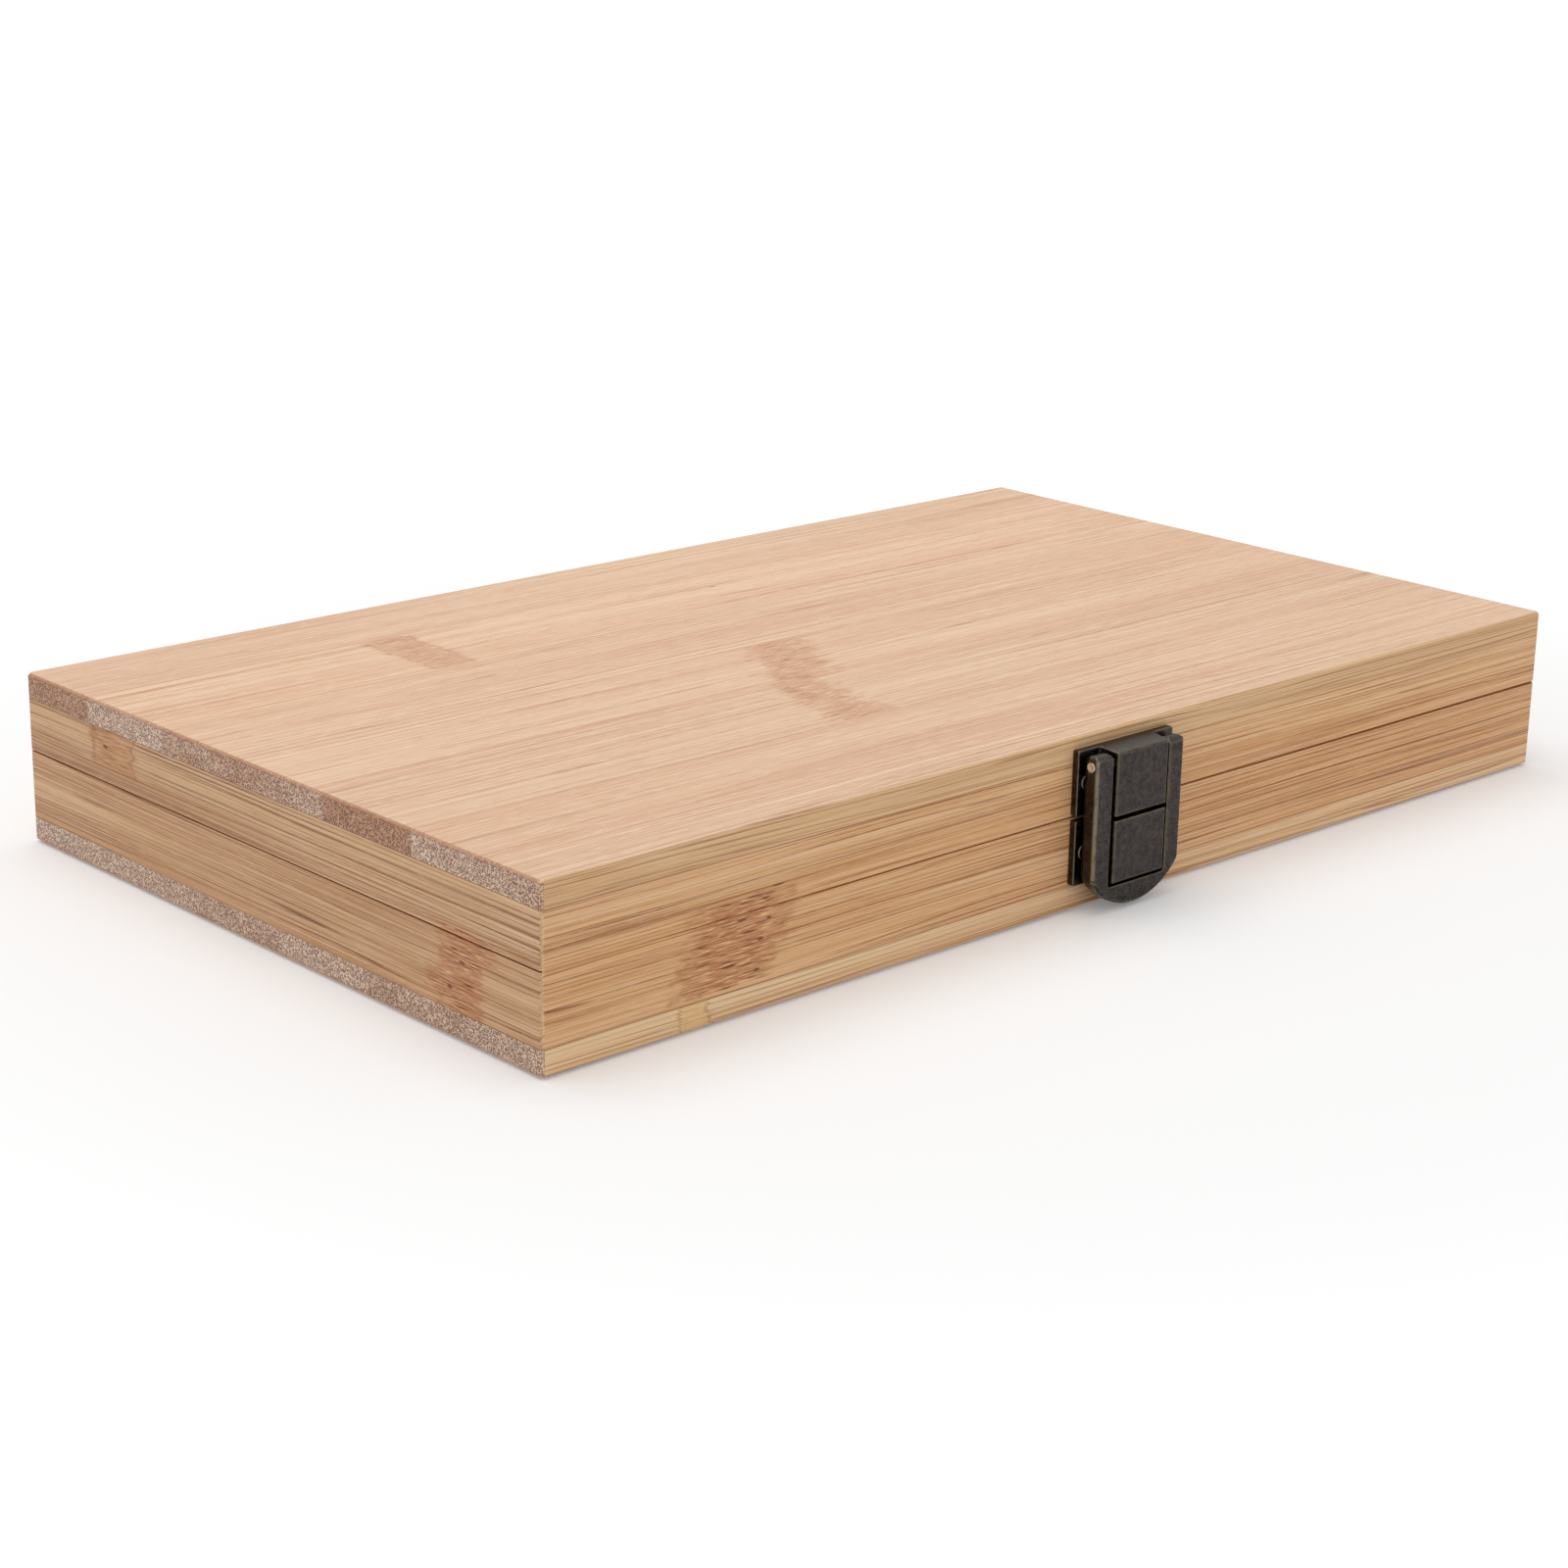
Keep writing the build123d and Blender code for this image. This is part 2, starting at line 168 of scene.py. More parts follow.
def place_on_piece(tree):
    """Where a point lies in the piece's own space, in millimetres."""
    return in_millimetres(tree, add(tree, "TexCoord").outputs["Object"])


print("one unit of a pattern is", mm, "m")

# %% [markdown]
# ## Masks, colours and groups
# A soft step turns a range of a value into a mask, and a mask lays one colour over another. Colours
# are written as they look on a screen and turned into the linear light values that the renderer
# works in. A group is a pattern with named sockets that several materials can share.

# %% Helpers for colours and groups
def soft_step(tree, value, start, end, low=0.0, high=1.0):
    """Goes smoothly from low to high while a value goes from start to end."""
    inputs = {"Value": value, "From Min": start, "From Max": end, "To Min": low, "To Max": high}
    return add(tree, "MapRange", inputs, interpolation_type="SMOOTHSTEP").outputs[0]


def mixed(tree, factor, first, second, blend="MIX"):
    """Mixes two colours by a mask."""
    made = add(tree, "Mix", {0: factor, 6: first, 7: second}, data_type="RGBA", blend_type=blend)
    return made.outputs[2]


def laid_over(tree, colour, over, mask, strength):
    """Lays a colour over another where a mask is white, at a strength."""
    return mixed(tree, times(tree, mask, strength), colour, over)


def noise(tree, point, stretch, detail=2.0, roughness=0.5):
    """Cloudy noise, stretched by so many features to the millimetre along each axis."""
    scaled = vector_maths(tree, "MULTIPLY", point, stretch)
    inputs = {"Vector": scaled, "Scale": 1.0, "Detail": detail, "Roughness": roughness}
    return add(tree, "TexNoise", inputs)


def screen_colour(red, green, blue):
    """A colour as read off a screen, 0 to 255, as linear light."""
    linear = [((v / 255 + 0.055) / 1.055) ** 2.4 if v > 10 else v / 255 / 12.92
              for v in (red, green, blue)]
    return (*linear, 1.0)


def new_group(name, inputs, outputs):
    """A shader node group with named inputs and outputs."""
    tree = bpy.data.node_groups.new(name, "ShaderNodeTree")
    for title, kind in inputs.items():
        tree.interface.new_socket(name=title, in_out="INPUT", socket_type="NodeSocket" + kind)
    for title, kind in outputs.items():
        tree.interface.new_socket(name=title, in_out="OUTPUT", socket_type="NodeSocket" + kind)
    return tree, tree.nodes.new("NodeGroupInput").outputs, tree.nodes.new("NodeGroupOutput").inputs


def place_group(tree, group, inputs):
    """Places a node group in a material, with its own values."""
    return add(tree, "Group", inputs, node_tree=group).outputs


def new_material(name):
    """An empty material with its output and one Principled shader."""
    material = bpy.data.materials.new(name)
    material.use_nodes = True
    tree = material.node_tree
    tree.nodes.clear()
    shader = add(tree, "BsdfPrincipled")
    add(tree, "OutputMaterial", {"Surface": shader.outputs[0]})
    return material, tree, shader


print("middle grey of a screen is", round(screen_colour(128, 128, 128)[0], 3), "of linear light")

# %% [markdown]
# ## Bamboo grain
# Bamboo is a bundle of straight fibres. On a long face they show as fine streaks, and on an end
# as dots, the cut ends of the same fibres. The streaks come from noise that changes fast across the
# board and hardly at all along it. One such noise looks like brushed paint, so several sizes of it
# are laid over each other. The group works in millimetres with its first axis along the grain, so
# each board only has to say which way its grain runs. Three numbers after a point are how many
# features a noise has to the millimetre along each axis. A slow drift keeps the lines from being
# ruled straight.

# %% Bamboo grain group and its noises
grain, grain_in, grain_out = new_group(
    "Bamboo grain",
    {"Point": "Vector", "Ground": "Color", "Pale": "Color", "Line": "Color", "Lines": "Float",
     "Fibres": "Float", "Ticks": "Float"},
    {"Colour": "Color", "Relief": "Float", "Tone": "Float"},
)
mid_grey = (0.5, 0.5, 0.5)
sideways_drift = (0.0, 1.6, 1.6)
elsewhere = (31.0, 47.0, 83.0)
drift = noise(grain, grain_in["Point"], (0.008, 0.03, 0.03), detail=1.0).outputs["Color"]
drift = vector_maths(grain, "SUBTRACT", drift, mid_grey)
drift = vector_maths(grain, "MULTIPLY", drift, sideways_drift)
fibre_point = vector_maths(grain, "ADD", grain_in["Point"], drift)
other_point = vector_maths(grain, "ADD", fibre_point, elsewhere)

broad = noise(grain, fibre_point, (0.004, 0.11, 0.11), detail=3.0, roughness=0.55).outputs[0]
crowd = noise(grain, other_point, (0.006, 0.16, 0.16), detail=2.0).outputs[0]
bundles = noise(grain, fibre_point, (0.004, 1.7, 1.7), detail=2.0, roughness=0.7).outputs[0]
contour = noise(grain, other_point, (0.0035, 0.38, 0.38), detail=1.0).outputs[0]
threads = noise(grain, fibre_point, (0.006, 4.2, 4.2), detail=2.0, roughness=0.6).outputs[0]
ticks = noise(grain, other_point, (0.24, 4.0, 4.0), detail=2.0, roughness=0.6).outputs[0]
breaks = noise(grain, other_point, (0.012, 0.8, 0.8), detail=2.0).outputs[0]
print("grain group has", len(grain.nodes), "nodes for its noises")

# %% [markdown]
# ## Colours of the grain
# The noises become colour from the ground up: broad tones, bundles of dark lines, even rows of
# vessels, which are a wave that wanders with the tones, single thin lines, which follow one level
# of a slow noise as a contour does on a map, and last the fibres themselves and short ticks where a
# fibre surfaces. The same noises give the relief.

# %% Colour and relief of the grain
colour = mixed(grain, soft_step(grain, broad, 0.36, 0.64), grain_in["Ground"], grain_in["Pale"])
crowded = soft_step(grain, crowd, 0.38, 0.66, 0.15, 1.0)
dark_lines = times(grain, soft_step(grain, bundles, 0.50, 0.66), crowded)
dark_lines = times(grain, dark_lines, grain_in["Lines"])
colour = laid_over(grain, colour, grain_in["Line"], dark_lines, 0.75)
row_turns = 7.2
row_wander = 7.0
sideways = add(grain, "SeparateXYZ", {0: fibre_point}).outputs
sideways = maths(grain, "MULTIPLY_ADD", sideways[2], 0.7, sideways[1])
sideways = maths(grain, "MULTIPLY_ADD", broad, row_wander, sideways)
rows = maths(grain, "SINE", times(grain, sideways, row_turns))
rows = times(grain, soft_step(grain, rows, 0.66, 0.97), soft_step(grain, breaks, 0.36, 0.54))
rows = times(grain, rows, grain_in["Lines"])
colour = laid_over(grain, colour, grain_in["Line"], rows, 0.75)
from_level = distance(grain, contour, 0.5)
single_lines = times(grain, soft_step(grain, from_level, 0.003, 0.017, 1.0, 0.0),
                     soft_step(grain, breaks, 0.44, 0.60))
single_lines = times(grain, single_lines, grain_in["Lines"])
colour = mixed(grain, single_lines, colour, grain_in["Line"])
sheen = mixed(grain, 0.35, grain_in["Pale"], (1.0, 0.90, 0.74, 1.0))
for streaks, amount, start, full, tint, strength in (
        (threads, "Fibres", 0.50, 0.68, grain_in["Line"], 0.52),
        (threads, "Fibres", 0.47, 0.32, sheen, 0.68),
        (ticks, "Ticks", 0.56, 0.70, grain_in["Line"], 0.35),
        (ticks, "Ticks", 0.43, 0.32, sheen, 0.60)):
    mask = times(grain, soft_step(grain, streaks, start, full), grain_in[amount])
    colour = laid_over(grain, colour, tint, mask, strength)
grain.links.new(colour, grain_out["Colour"])
relief = maths(grain, "MULTIPLY_ADD", threads, -0.6, times(grain, bundles, -0.6))
grain.links.new(maths(grain, "SUBTRACT", relief, times(grain, single_lines, 0.6)),
                grain_out["Relief"])
grain.links.new(broad, grain_out["Tone"])
print("grain group has", len(grain.nodes), "nodes in all")

# %% [markdown]
# ## Nodes of the bamboo
# Every hand's breadth a bamboo stalk has a node, a ring where the fibres tangle. Planed flat, it is
# a reddish patch across the strip, full of short dark and light dashes where fibres end, with its
# two ends frayed fibre by fibre and a faint darker line round it. A soft box that noise pulls about
# gives all of that. One group makes the masks, and each board says where its nodes are.

# %% Group for one node of the bamboo
patch, patch_in, patch_out = new_group(
    "Bamboo node",
    {"Point": "Vector", "Middle": "Vector", "Half": "Vector", "Slant": "Float", "Fray": "Float",
     "Softness": "Float", "Dashes": "Float"},
    {"Patch": "Float", "Rim": "Float", "Dark": "Float", "Light": "Float"},
)
from_middle = vector_maths(patch, "SUBTRACT", patch_in["Point"], patch_in["Middle"])
by_fibre = noise(patch, patch_in["Point"], (0.02, 2.4, 2.4), detail=2.0, roughness=0.7).outputs[0]
by_cloud = noise(patch, patch_in["Point"], (0.22, 0.30, 0.30), detail=2.0).outputs[0]
waver = maths(patch, "SUBTRACT", maths(patch, "ADD", by_fibre, by_cloud), 1.0)
apart = add(patch, "SeparateXYZ", {0: from_middle}).outputs
half = add(patch, "SeparateXYZ", {0: patch_in["Half"]}).outputs
along = maths(patch, "MULTIPLY_ADD", apart[1], patch_in["Slant"], apart[0])
along = maths(patch, "MULTIPLY_ADD", waver, patch_in["Fray"], along)
along = maths(patch, "DIVIDE", maths(patch, "ABSOLUTE", along), half[0])
across = maths(patch, "MULTIPLY_ADD", waver, patch_in["Softness"], apart[1])
across = maths(patch, "DIVIDE", maths(patch, "ABSOLUTE", across), half[1])
within = soft_step(patch, across, 0.94, 1.02, 1.0, 0.0)
mask = times(patch, soft_step(patch, along, 0.45, 1.35, 1.0, 0.0), within)
near = times(patch, soft_step(patch, along, 1.0, 3.4, 1.0, 0.0), within)
dashes = noise(patch, patch_in["Point"], (0.24, 3.8, 3.8), detail=2.0, roughness=0.6).outputs[0]
streaks = noise(patch, patch_in["Point"], (0.09, 2.2, 2.2), detail=2.0).outputs[0]
uneven = times(patch, mask, soft_step(patch, streaks, 0.34, 0.60, 0.45, 1.0))
patch.links.new(uneven, patch_out["Patch"])
to_rim = distance(patch, along, 0.95)
rim = times(patch, soft_step(patch, to_rim, 0.0, 0.16, 1.0, 0.0), within)
patch.links.new(rim, patch_out["Rim"])
dash_mask = times(patch, mask, patch_in["Dashes"])
dark_in = times(patch, dash_mask, soft_step(patch, dashes, 0.53, 0.65))
patch.links.new(dark_in, patch_out["Dark"])
light_in = times(patch, dash_mask, soft_step(patch, dashes, 0.46, 0.35))
light_by = times(patch, near, soft_step(patch, streaks, 0.52, 0.62, 0.0, 0.6))
patch.links.new(maths(patch, "MAXIMUM", light_in, light_by), patch_out["Light"])
print("node group has", len(patch.nodes), "nodes")

# %% [markdown]
# ## Cut ends of the fibres
# The ends of the top and bottom panels show the fibres cut across: dark dots close together in a
# pale ground. Cells of a Voronoi pattern give dots that crowd without touching, which plain noise
# can't. A strip cut near the skin of the stalk is browner and denser than one from inside, so the
# group takes how brown a strip is.

# %% Group for the cut ends
ends, ends_in, ends_out = new_group(
    "Cut fibre ends",
    {"Point": "Vector", "Brownness": "Float"},
    {"Colour": "Color", "Relief": "Float"},
)
cells = vector_maths(ends, "MULTIPLY", ends_in["Point"], (0.05, 3.2, 2.7))
dots = add(ends, "TexVoronoi", {"Vector": cells, "Scale": 1.0, "Randomness": 0.55})
dot_mask = soft_step(ends, dots.outputs["Distance"], 0.64, 0.39)
cloud = noise(ends, ends_in["Point"], (0.02, 0.10, 0.35), detail=3.0).outputs[0]
cloud = soft_step(ends, cloud, 0.30, 0.70, -0.25, 0.25)
brownness = add(ends, "Clamp", {0: maths(ends, "ADD", ends_in["Brownness"], cloud)}).outputs[0]
ground = mixed(ends, brownness, screen_colour(242, 214, 188), screen_colour(207, 160, 126))
dot = mixed(ends, brownness, screen_colour(124, 88, 78), screen_colour(108, 66, 50))
ends.links.new(laid_over(ends, ground, dot, dot_mask, 0.9), ends_out["Colour"])
ends.links.new(times(ends, dot_mask, -1.0), ends_out["Relief"])
print("cut ends group has", len(ends.nodes), "nodes")

# %% [markdown]
# ## What is laid over the grain
# The grain runs over every board alike. What tells boards apart is laid over it: strips with a tone
# of their own, nodes, small specks, and the satin finish. Each is a short function, so that a board
# can be described by a few numbers in millimetres. A colour ramp with hard steps gives every strip
# its value, because a texture would blend one strip into the next.

# %% Strips, nodes, specks and finish
def stepped(tree, position, values):
    """A value for each strip, from a colour ramp with hard steps."""
    ramp = add(tree, "ValToRGB", {0: maths(tree, "DIVIDE", position, float(len(values)))})
    steps = ramp.color_ramp
    steps.interpolation = "CONSTANT"
    while len(steps.elements) < len(values):
        steps.elements.new(1.0)
    for number, value in enumerate(values):
        steps.elements[number].position = number / len(values)
        steps.elements[number].color = (value, value, value, 1.0)
    return ramp.outputs[0]


def lay_nodes(tree, colour, point, patches, pale, dark):
    """Lays nodes over a colour. Each says its place, half its size, its slant, how much it frays
    along and across the grain, how many dashes it has, and its tints."""
    for x, y, half_long, half_wide, slant, fray, softness, dashed, tint, rim_tint in patches:
        inputs = {"Point": point, "Middle": (x, y, 0.0), "Half": (half_long, half_wide, 1.0),
                  "Slant": slant, "Fray": fray, "Softness": softness, "Dashes": dashed}
        masks = place_group(tree, patch, inputs)
        for mask, strength, over in (("Patch", 0.85, tint), ("Rim", 0.55, rim_tint),
                                     ("Dark", 0.42, dark), ("Light", 0.75, pale)):
            colour = laid_over(tree, colour, over, masks[mask], strength)
    return colour


def lay_specks(tree, colour, point, specks, dark):
    """Small dark specks. Each says its place and its size along and across the grain."""
    for x, y, size_x, size_y in specks:
        away = vector_maths(tree, "SUBTRACT", point, (x, y, 0.0))
        away = vector_maths(tree, "DIVIDE", away, (size_x, size_y, 1.0))
        away = vector_maths(tree, "MULTIPLY", away, (1.0, 1.0, 0.0))
        mask = soft_step(tree, length_of(tree, away), 0.4, 1.3, 0.85, 0.0)
        colour = mixed(tree, mask, colour, dark)
    return colour


def finish_bamboo(tree, shader, colour, tone, relief):
    """The satin surface that all boards share."""
    tree.links.new(colour, shader.inputs["Base Color"])
    tree.links.new(soft_step(tree, tone, 0.2, 0.8, 0.44, 0.58), shader.inputs["Roughness"])
    bump = add(tree, "Bump", {"Height": relief, "Strength": 0.35, "Distance": 0.06 * mm})
    tree.links.new(bump.outputs[0], shader.inputs["Normal"])
    shader.inputs["Specular IOR Level"].default_value = 0.3


print("boards can have strips, nodes and specks")

# %% [markdown]
# ## Bamboo of a wall
# A wall is one strip on edge, so it has one run of grain along X or along Y. Its upright corners
# get a painted highlight, a pale colour laid where light would catch the eased corners, and the
# glue joints against the top and bottom panels show as fine dark lines. Both are masks of the place
# on the box, so they sit at the same height on all four walls.

# %% Material of a wall
middle_z = cad_box[1][2] / mm / 2
joint_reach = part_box("lid_front_wall")[1].z / mm - middle_z
half_x, half_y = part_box("lid_top_panel")[1].x / mm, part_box("lid_top_panel")[1].y / mm
highlight_from, highlight_full = 0.60, 0.25


def wall_bamboo(name, tones, patches=(), specks=(), along_y=False, shift=(0.0, 0.0, 0.0)):
    """Bamboo of one strip on edge, with its grain along X or along Y."""
    material, tree, shader = new_material(name)
    place = add(tree, "TexCoord").outputs["Object"]
    turn = math.radians(-90.0 if along_y else 0.0)
    turned = add(tree, "Mapping", {"Vector": place, "Rotation": (0.0, 0.0, turn)}).outputs[0]
    board = add(tree, "SeparateXYZ", {0: turned}).outputs
    flat = add(tree, "CombineXYZ", {0: board[0], 1: board[2], 2: board[1]}).outputs[0]
    point = in_millimetres(tree, flat)
    inputs = {key: tones[key] for key in ("Ground", "Pale", "Line", "Lines", "Fibres", "Ticks")}
    grained = place_group(tree, grain, {"Point": vector_maths(tree, "ADD", point, shift), **inputs})
    colour = lay_nodes(tree, grained["Colour"], point, patches, tones["Pale"], tones["Dark"])
    colour = lay_specks(tree, colour, point, specks, tones["Dark"])
    # Painted highlight: a pale colour laid along the upright corners, where light would catch them.
    corner = in_millimetres(tree, vector_maths(tree, "ABSOLUTE", place))
    corner = add(tree, "SeparateXYZ", {0: corner}).outputs
    corner_highlight = times(tree, soft_step(tree, corner[0], half_x - highlight_from, half_x - highlight_full),
                      soft_step(tree, corner[1], half_y - highlight_from, half_y - highlight_full))
    colour = laid_over(tree, colour, tones["Wear_and_highlight"], corner_highlight, 0.5)
    from_joint = distance(tree, distance(tree, corner[2], middle_z), joint_reach)
    wavering = maths(tree, "MULTIPLY_ADD", grained["Tone"], 0.5, from_joint)
    colour = mixed(tree, soft_step(tree, wavering, 0.30, 0.55, 0.65, 0.0), colour, tones["Line"])
    finish_bamboo(tree, shader, colour, grained["Tone"], grained["Relief"])
    return material


print("walls reach", round(joint_reach, 3), "mm up and down from the middle of the box")

# %% [markdown]
# ## Bamboo of a panel
# A panel is glued from flat strips with their grain along the box, each strip with its own tone
# and its own stretch of the pattern. It shows three kinds of face: the broad face, the long edge,
# and the ends with their cut fibres, browner towards the skin. The direction a face looks, in the
# board's own space, tells them apart, so one material covers the whole board.

# %% Material of a panel
strip_apart = 57.0
end_skin = screen_colour(176, 116, 78)


def panel_bamboo(name, tones, edge, strips, strip_tones, strip_browns, patches=(), specks=(),
                 shift=(0.0, 0.0, 0.0)):
    """Bamboo of flat strips side by side, with its grain along X and cut fibres on its ends."""
    material, tree, shader = new_material(name)
    place = add(tree, "TexCoord").outputs
    point = in_millimetres(tree, place["Object"])
    board = add(tree, "SeparateXYZ", {0: point}).outputs
    start, width = strips
    position = maths(tree, "DIVIDE", maths(tree, "SUBTRACT", board[1], start), width)
    stretch = add(tree, "CombineXYZ", {0: times(tree, maths(tree, "FLOOR", position), strip_apart)})
    shifted = vector_maths(tree, "ADD", point, shift)
    shifted = vector_maths(tree, "ADD", shifted, stretch.outputs[0])
    looks = add(tree, "SeparateXYZ", {0: place["Normal"]}).outputs
    on_edge = soft_step(tree, maths(tree, "ABSOLUTE", looks[1]), 0.45, 0.80)
    on_end = soft_step(tree, maths(tree, "ABSOLUTE", looks[0]), 0.55, 0.80)
    inputs = {"Point": shifted, "Fibres": tones["Fibres"]}
    for key in ("Ground", "Pale", "Line"):
        inputs[key] = mixed(tree, on_edge, tones[key], edge[key])
    for key in ("Lines", "Ticks"):
        inputs[key] = add(tree, "Mix", {0: on_edge, 2: tones[key], 3: edge[key]}).outputs[0]
    grained = place_group(tree, grain, inputs)
    colour = mixed(tree, 1.0, grained["Colour"], stepped(tree, position, strip_tones), "MULTIPLY")
    glue = soft_step(tree, maths(tree, "PINGPONG", position, 0.5), 0.002, 0.014, 0.32, 0.0)
    colour = mixed(tree, glue, colour, inputs["Line"])
    colour = lay_nodes(tree, colour, point, patches, inputs["Pale"], tones["Dark"])
    colour = lay_specks(tree, colour, point, specks, tones["Dark"])
    browns = stepped(tree, position, strip_browns)
    cut = place_group(tree, ends, {"Point": point, "Brownness": browns})
    skin = soft_step(tree, distance(tree, board[2], middle_z), middle_z - 0.9, middle_z - 0.3,
                     0.0, 0.6)
    colour = mixed(tree, on_end, colour, mixed(tree, skin, cut["Colour"], end_skin))
    relief = add(tree, "Mix", {0: on_end, 2: grained["Relief"], 3: cut["Relief"]}).outputs[0]
    finish_bamboo(tree, shader, colour, grained["Tone"], relief)
    return material


print("panels reach", round(half_x, 3), "by", round(half_y, 3), "mm from the middle of the box")

# %% [markdown]
# ## Tones of the boards
# The broad faces of the panels are peach and quiet. The walls show the strips on edge, more orange
# and with much stronger lines. The end walls stand in less light, and shade is painted into their
# tones, a darker copy of the wall tones. Each tone is read off the photograph as a screen colour.
# Lines, Fibres and Ticks say how strong each part of the grain is.

# %% Tones
panel_tones = {"Ground": screen_colour(231, 186, 150), "Pale": screen_colour(240, 204, 170),
               "Line": screen_colour(186, 124, 82), "Dark": screen_colour(150, 84, 50),
               "Lines": 0.60, "Fibres": 0.80, "Ticks": 1.0}
lid_edge = {"Ground": screen_colour(224, 176, 126), "Pale": screen_colour(238, 196, 146),
            "Line": screen_colour(158, 100, 56), "Lines": 0.80, "Ticks": 0.25}
base_edge = {"Ground": screen_colour(248, 205, 156), "Pale": screen_colour(255, 226, 182),
             "Line": screen_colour(182, 122, 76), "Lines": 0.85, "Ticks": 0.25}
# The pale corner colour in each set of wall tones is the painted highlight of the upright corners.
wall_tones = {"Ground": screen_colour(229, 174, 119), "Pale": screen_colour(241, 194, 142),
              "Line": screen_colour(154, 88, 44), "Dark": screen_colour(100, 46, 24),
              "Wear_and_highlight": screen_colour(240, 204, 162), "Lines": 0.95, "Fibres": 0.85, "Ticks": 0.45}
# Painted shade: the end walls' tones are darker than the wall tones.
shaded_end_tones = {"Ground": screen_colour(206, 156, 111), "Pale": screen_colour(226, 184, 140),
             "Line": screen_colour(130, 80, 46), "Dark": screen_colour(100, 50, 28),
             "Wear_and_highlight": screen_colour(228, 196, 158), "Lines": 0.95, "Fibres": 0.85, "Ticks": 0.45}
pink, blush = screen_colour(203, 141, 101), screen_colour(186, 120, 80)
russet, rust = screen_colour(182, 106, 60), screen_colour(150, 78, 36)
amber, honey = screen_colour(192, 132, 80), screen_colour(240, 196, 130)
print("a panel's ground as linear light", [round(v, 3) for v in panel_tones["Ground"][:3]])

# %% [markdown]
# ## Each board's own bamboo
# Where the photograph shows a node, the board has one at that place, in millimetres along and
# across the grain. Boards that it doesn't show get a few in likely places. A shift moves a board to
# another stretch of the pattern, so that no two look cut from the same length. The base and the lid
# share their walls' materials, which is what carries the grain on across the saw cut.

# %% Bamboo of the panels and walls
top_nodes = [(-60.5, 38.7, 4.5, 11.2, 0.0, 4.0, 0.4, 1.5, pink, blush),
             (-14.0, -6.2, 6.6, 11.2, -0.50, 15.0, 0.6, 1.7, pink, pink),
             (-25.5, -28.7, 5.0, 11.2, -0.15, 13.0, 0.6, 1.7, pink, pink)]
bamboo_top = panel_bamboo("bamboo_top", panel_tones, lid_edge, (-85.0, 22.5),
                          (0.975, 0.985, 0.975, 1.0, 1.0, 1.03, 0.985),
                          (0.35, 0.15, 1.0, 0.45, 0.65, 0.0, 1.0),
                          top_nodes, [(11.0, 42.0, 0.9, 0.25)])
under_nodes = [(-91.5, -62.0, 2.9, 9.0, 0.0, 4.0, 0.3, 0.6, honey, russet),
               (42.0, 34.0, 4.6, 12.4, 0.1, 5.0, 0.4, 0.8, pink, blush),
               (-78.0, 9.0, 5.0, 12.4, 0.0, 6.0, 0.4, 0.8, pink, blush),
               (66.0, -41.0, 5.0, 12.4, -0.2, 8.0, 0.4, 0.8, pink, blush)]
bamboo_under = panel_bamboo("bamboo_under", panel_tones, base_edge, (-78.5, 25.0),
                            (0.98, 1.0, 0.97, 0.985, 0.975, 0.99), (0.0, 0.3, 0.0, 0.25, 0.0, 0.0),
                            under_nodes, shift=(400.0, 90.0, 50.0))
front_nodes = [(-83.5, 12.2, 9.5, 6.8, -0.30, 11.0, 3.0, 1.7, russet, amber)]
front_specks = [(-82.0, 15.4, 1.2, 0.22), (-77.4, 17.9, 1.0, 0.20), (-79.6, 18.6, 1.8, 0.16),
                (-78.2, 11.6, 0.8, 0.30), (-79.0, 6.8, 0.8, 0.28), (-74.8, 19.4, 1.4, 0.17),
                (-80.6, 13.2, 1.5, 0.16), (-84.6, 8.6, 1.6, 0.16), (-76.6, 14.6, 0.6, 0.24)]
bamboo_front = wall_bamboo("bamboo_front", wall_tones, front_nodes, front_specks)
back_nodes = [(38.0, 14.0, 7.5, 9.0, 0.3, 12.0, 2.5, 0.9, russet, amber)]
bamboo_back = wall_bamboo("bamboo_back", wall_tones, back_nodes, shift=(300.0, 60.0, 20.0))
left_nodes = [(43.0, 22.3, 6.4, 3.4, 0.0, 6.0, 1.6, 1.0, amber, rust),
              (-51.0, 10.5, 5.4, 7.0, 0.25, 11.0, 3.0, 1.6, russet, russet)]
left_specks = [(45.2, 22.6, 0.9, 0.35), (-48.5, 8.0, 0.7, 0.40), (-51.5, 12.5, 0.9, 0.30),
               (-53.0, 9.4, 1.2, 0.18), (-49.6, 14.2, 1.0, 0.18)]
bamboo_left = wall_bamboo("bamboo_left", shaded_end_tones, left_nodes, left_specks, along_y=True)
right_nodes = [(-20.0, 10.0, 6.0, 6.0, 0.2, 9.0, 2.0, 1.0, russet, rust)]
bamboo_right = wall_bamboo("bamboo_right", shaded_end_tones, right_nodes, along_y=True,
                           shift=(500.0, 30.0, 40.0))
bamboo_rails = wall_bamboo("bamboo_rails", wall_tones, shift=(700.0, 10.0, 10.0))
bamboo_divider = wall_bamboo("bamboo_divider", wall_tones, along_y=True, shift=(700.0, 10.0, 10.0))
print("materials", [m.name for m in bpy.data.materials if m.name.startswith("bamboo")])

# %% [markdown]
# ## Small helpers for meshes
# Pieces are shaped as by hand: something is selected by its place or its direction, and an operator
# then moves, insets, extrudes or bevels it. Operators act on whatever is selected, so each step
# starts by letting go of everything else.

# %% Helpers for modelling
def only(piece):
    """Selects one piece and nothing else."""
    bpy.ops.object.select_all(action="DESELECT")
    piece.select_set(True)
    bpy.context.view_layer.objects.active = piece


def open_mesh(piece):
    """Goes into edit mode on a piece."""
    only(piece)
    bpy.ops.object.mode_set(mode="EDIT")


def close_mesh():
    """Goes back to object mode."""
    bpy.ops.object.mode_set(mode="OBJECT")


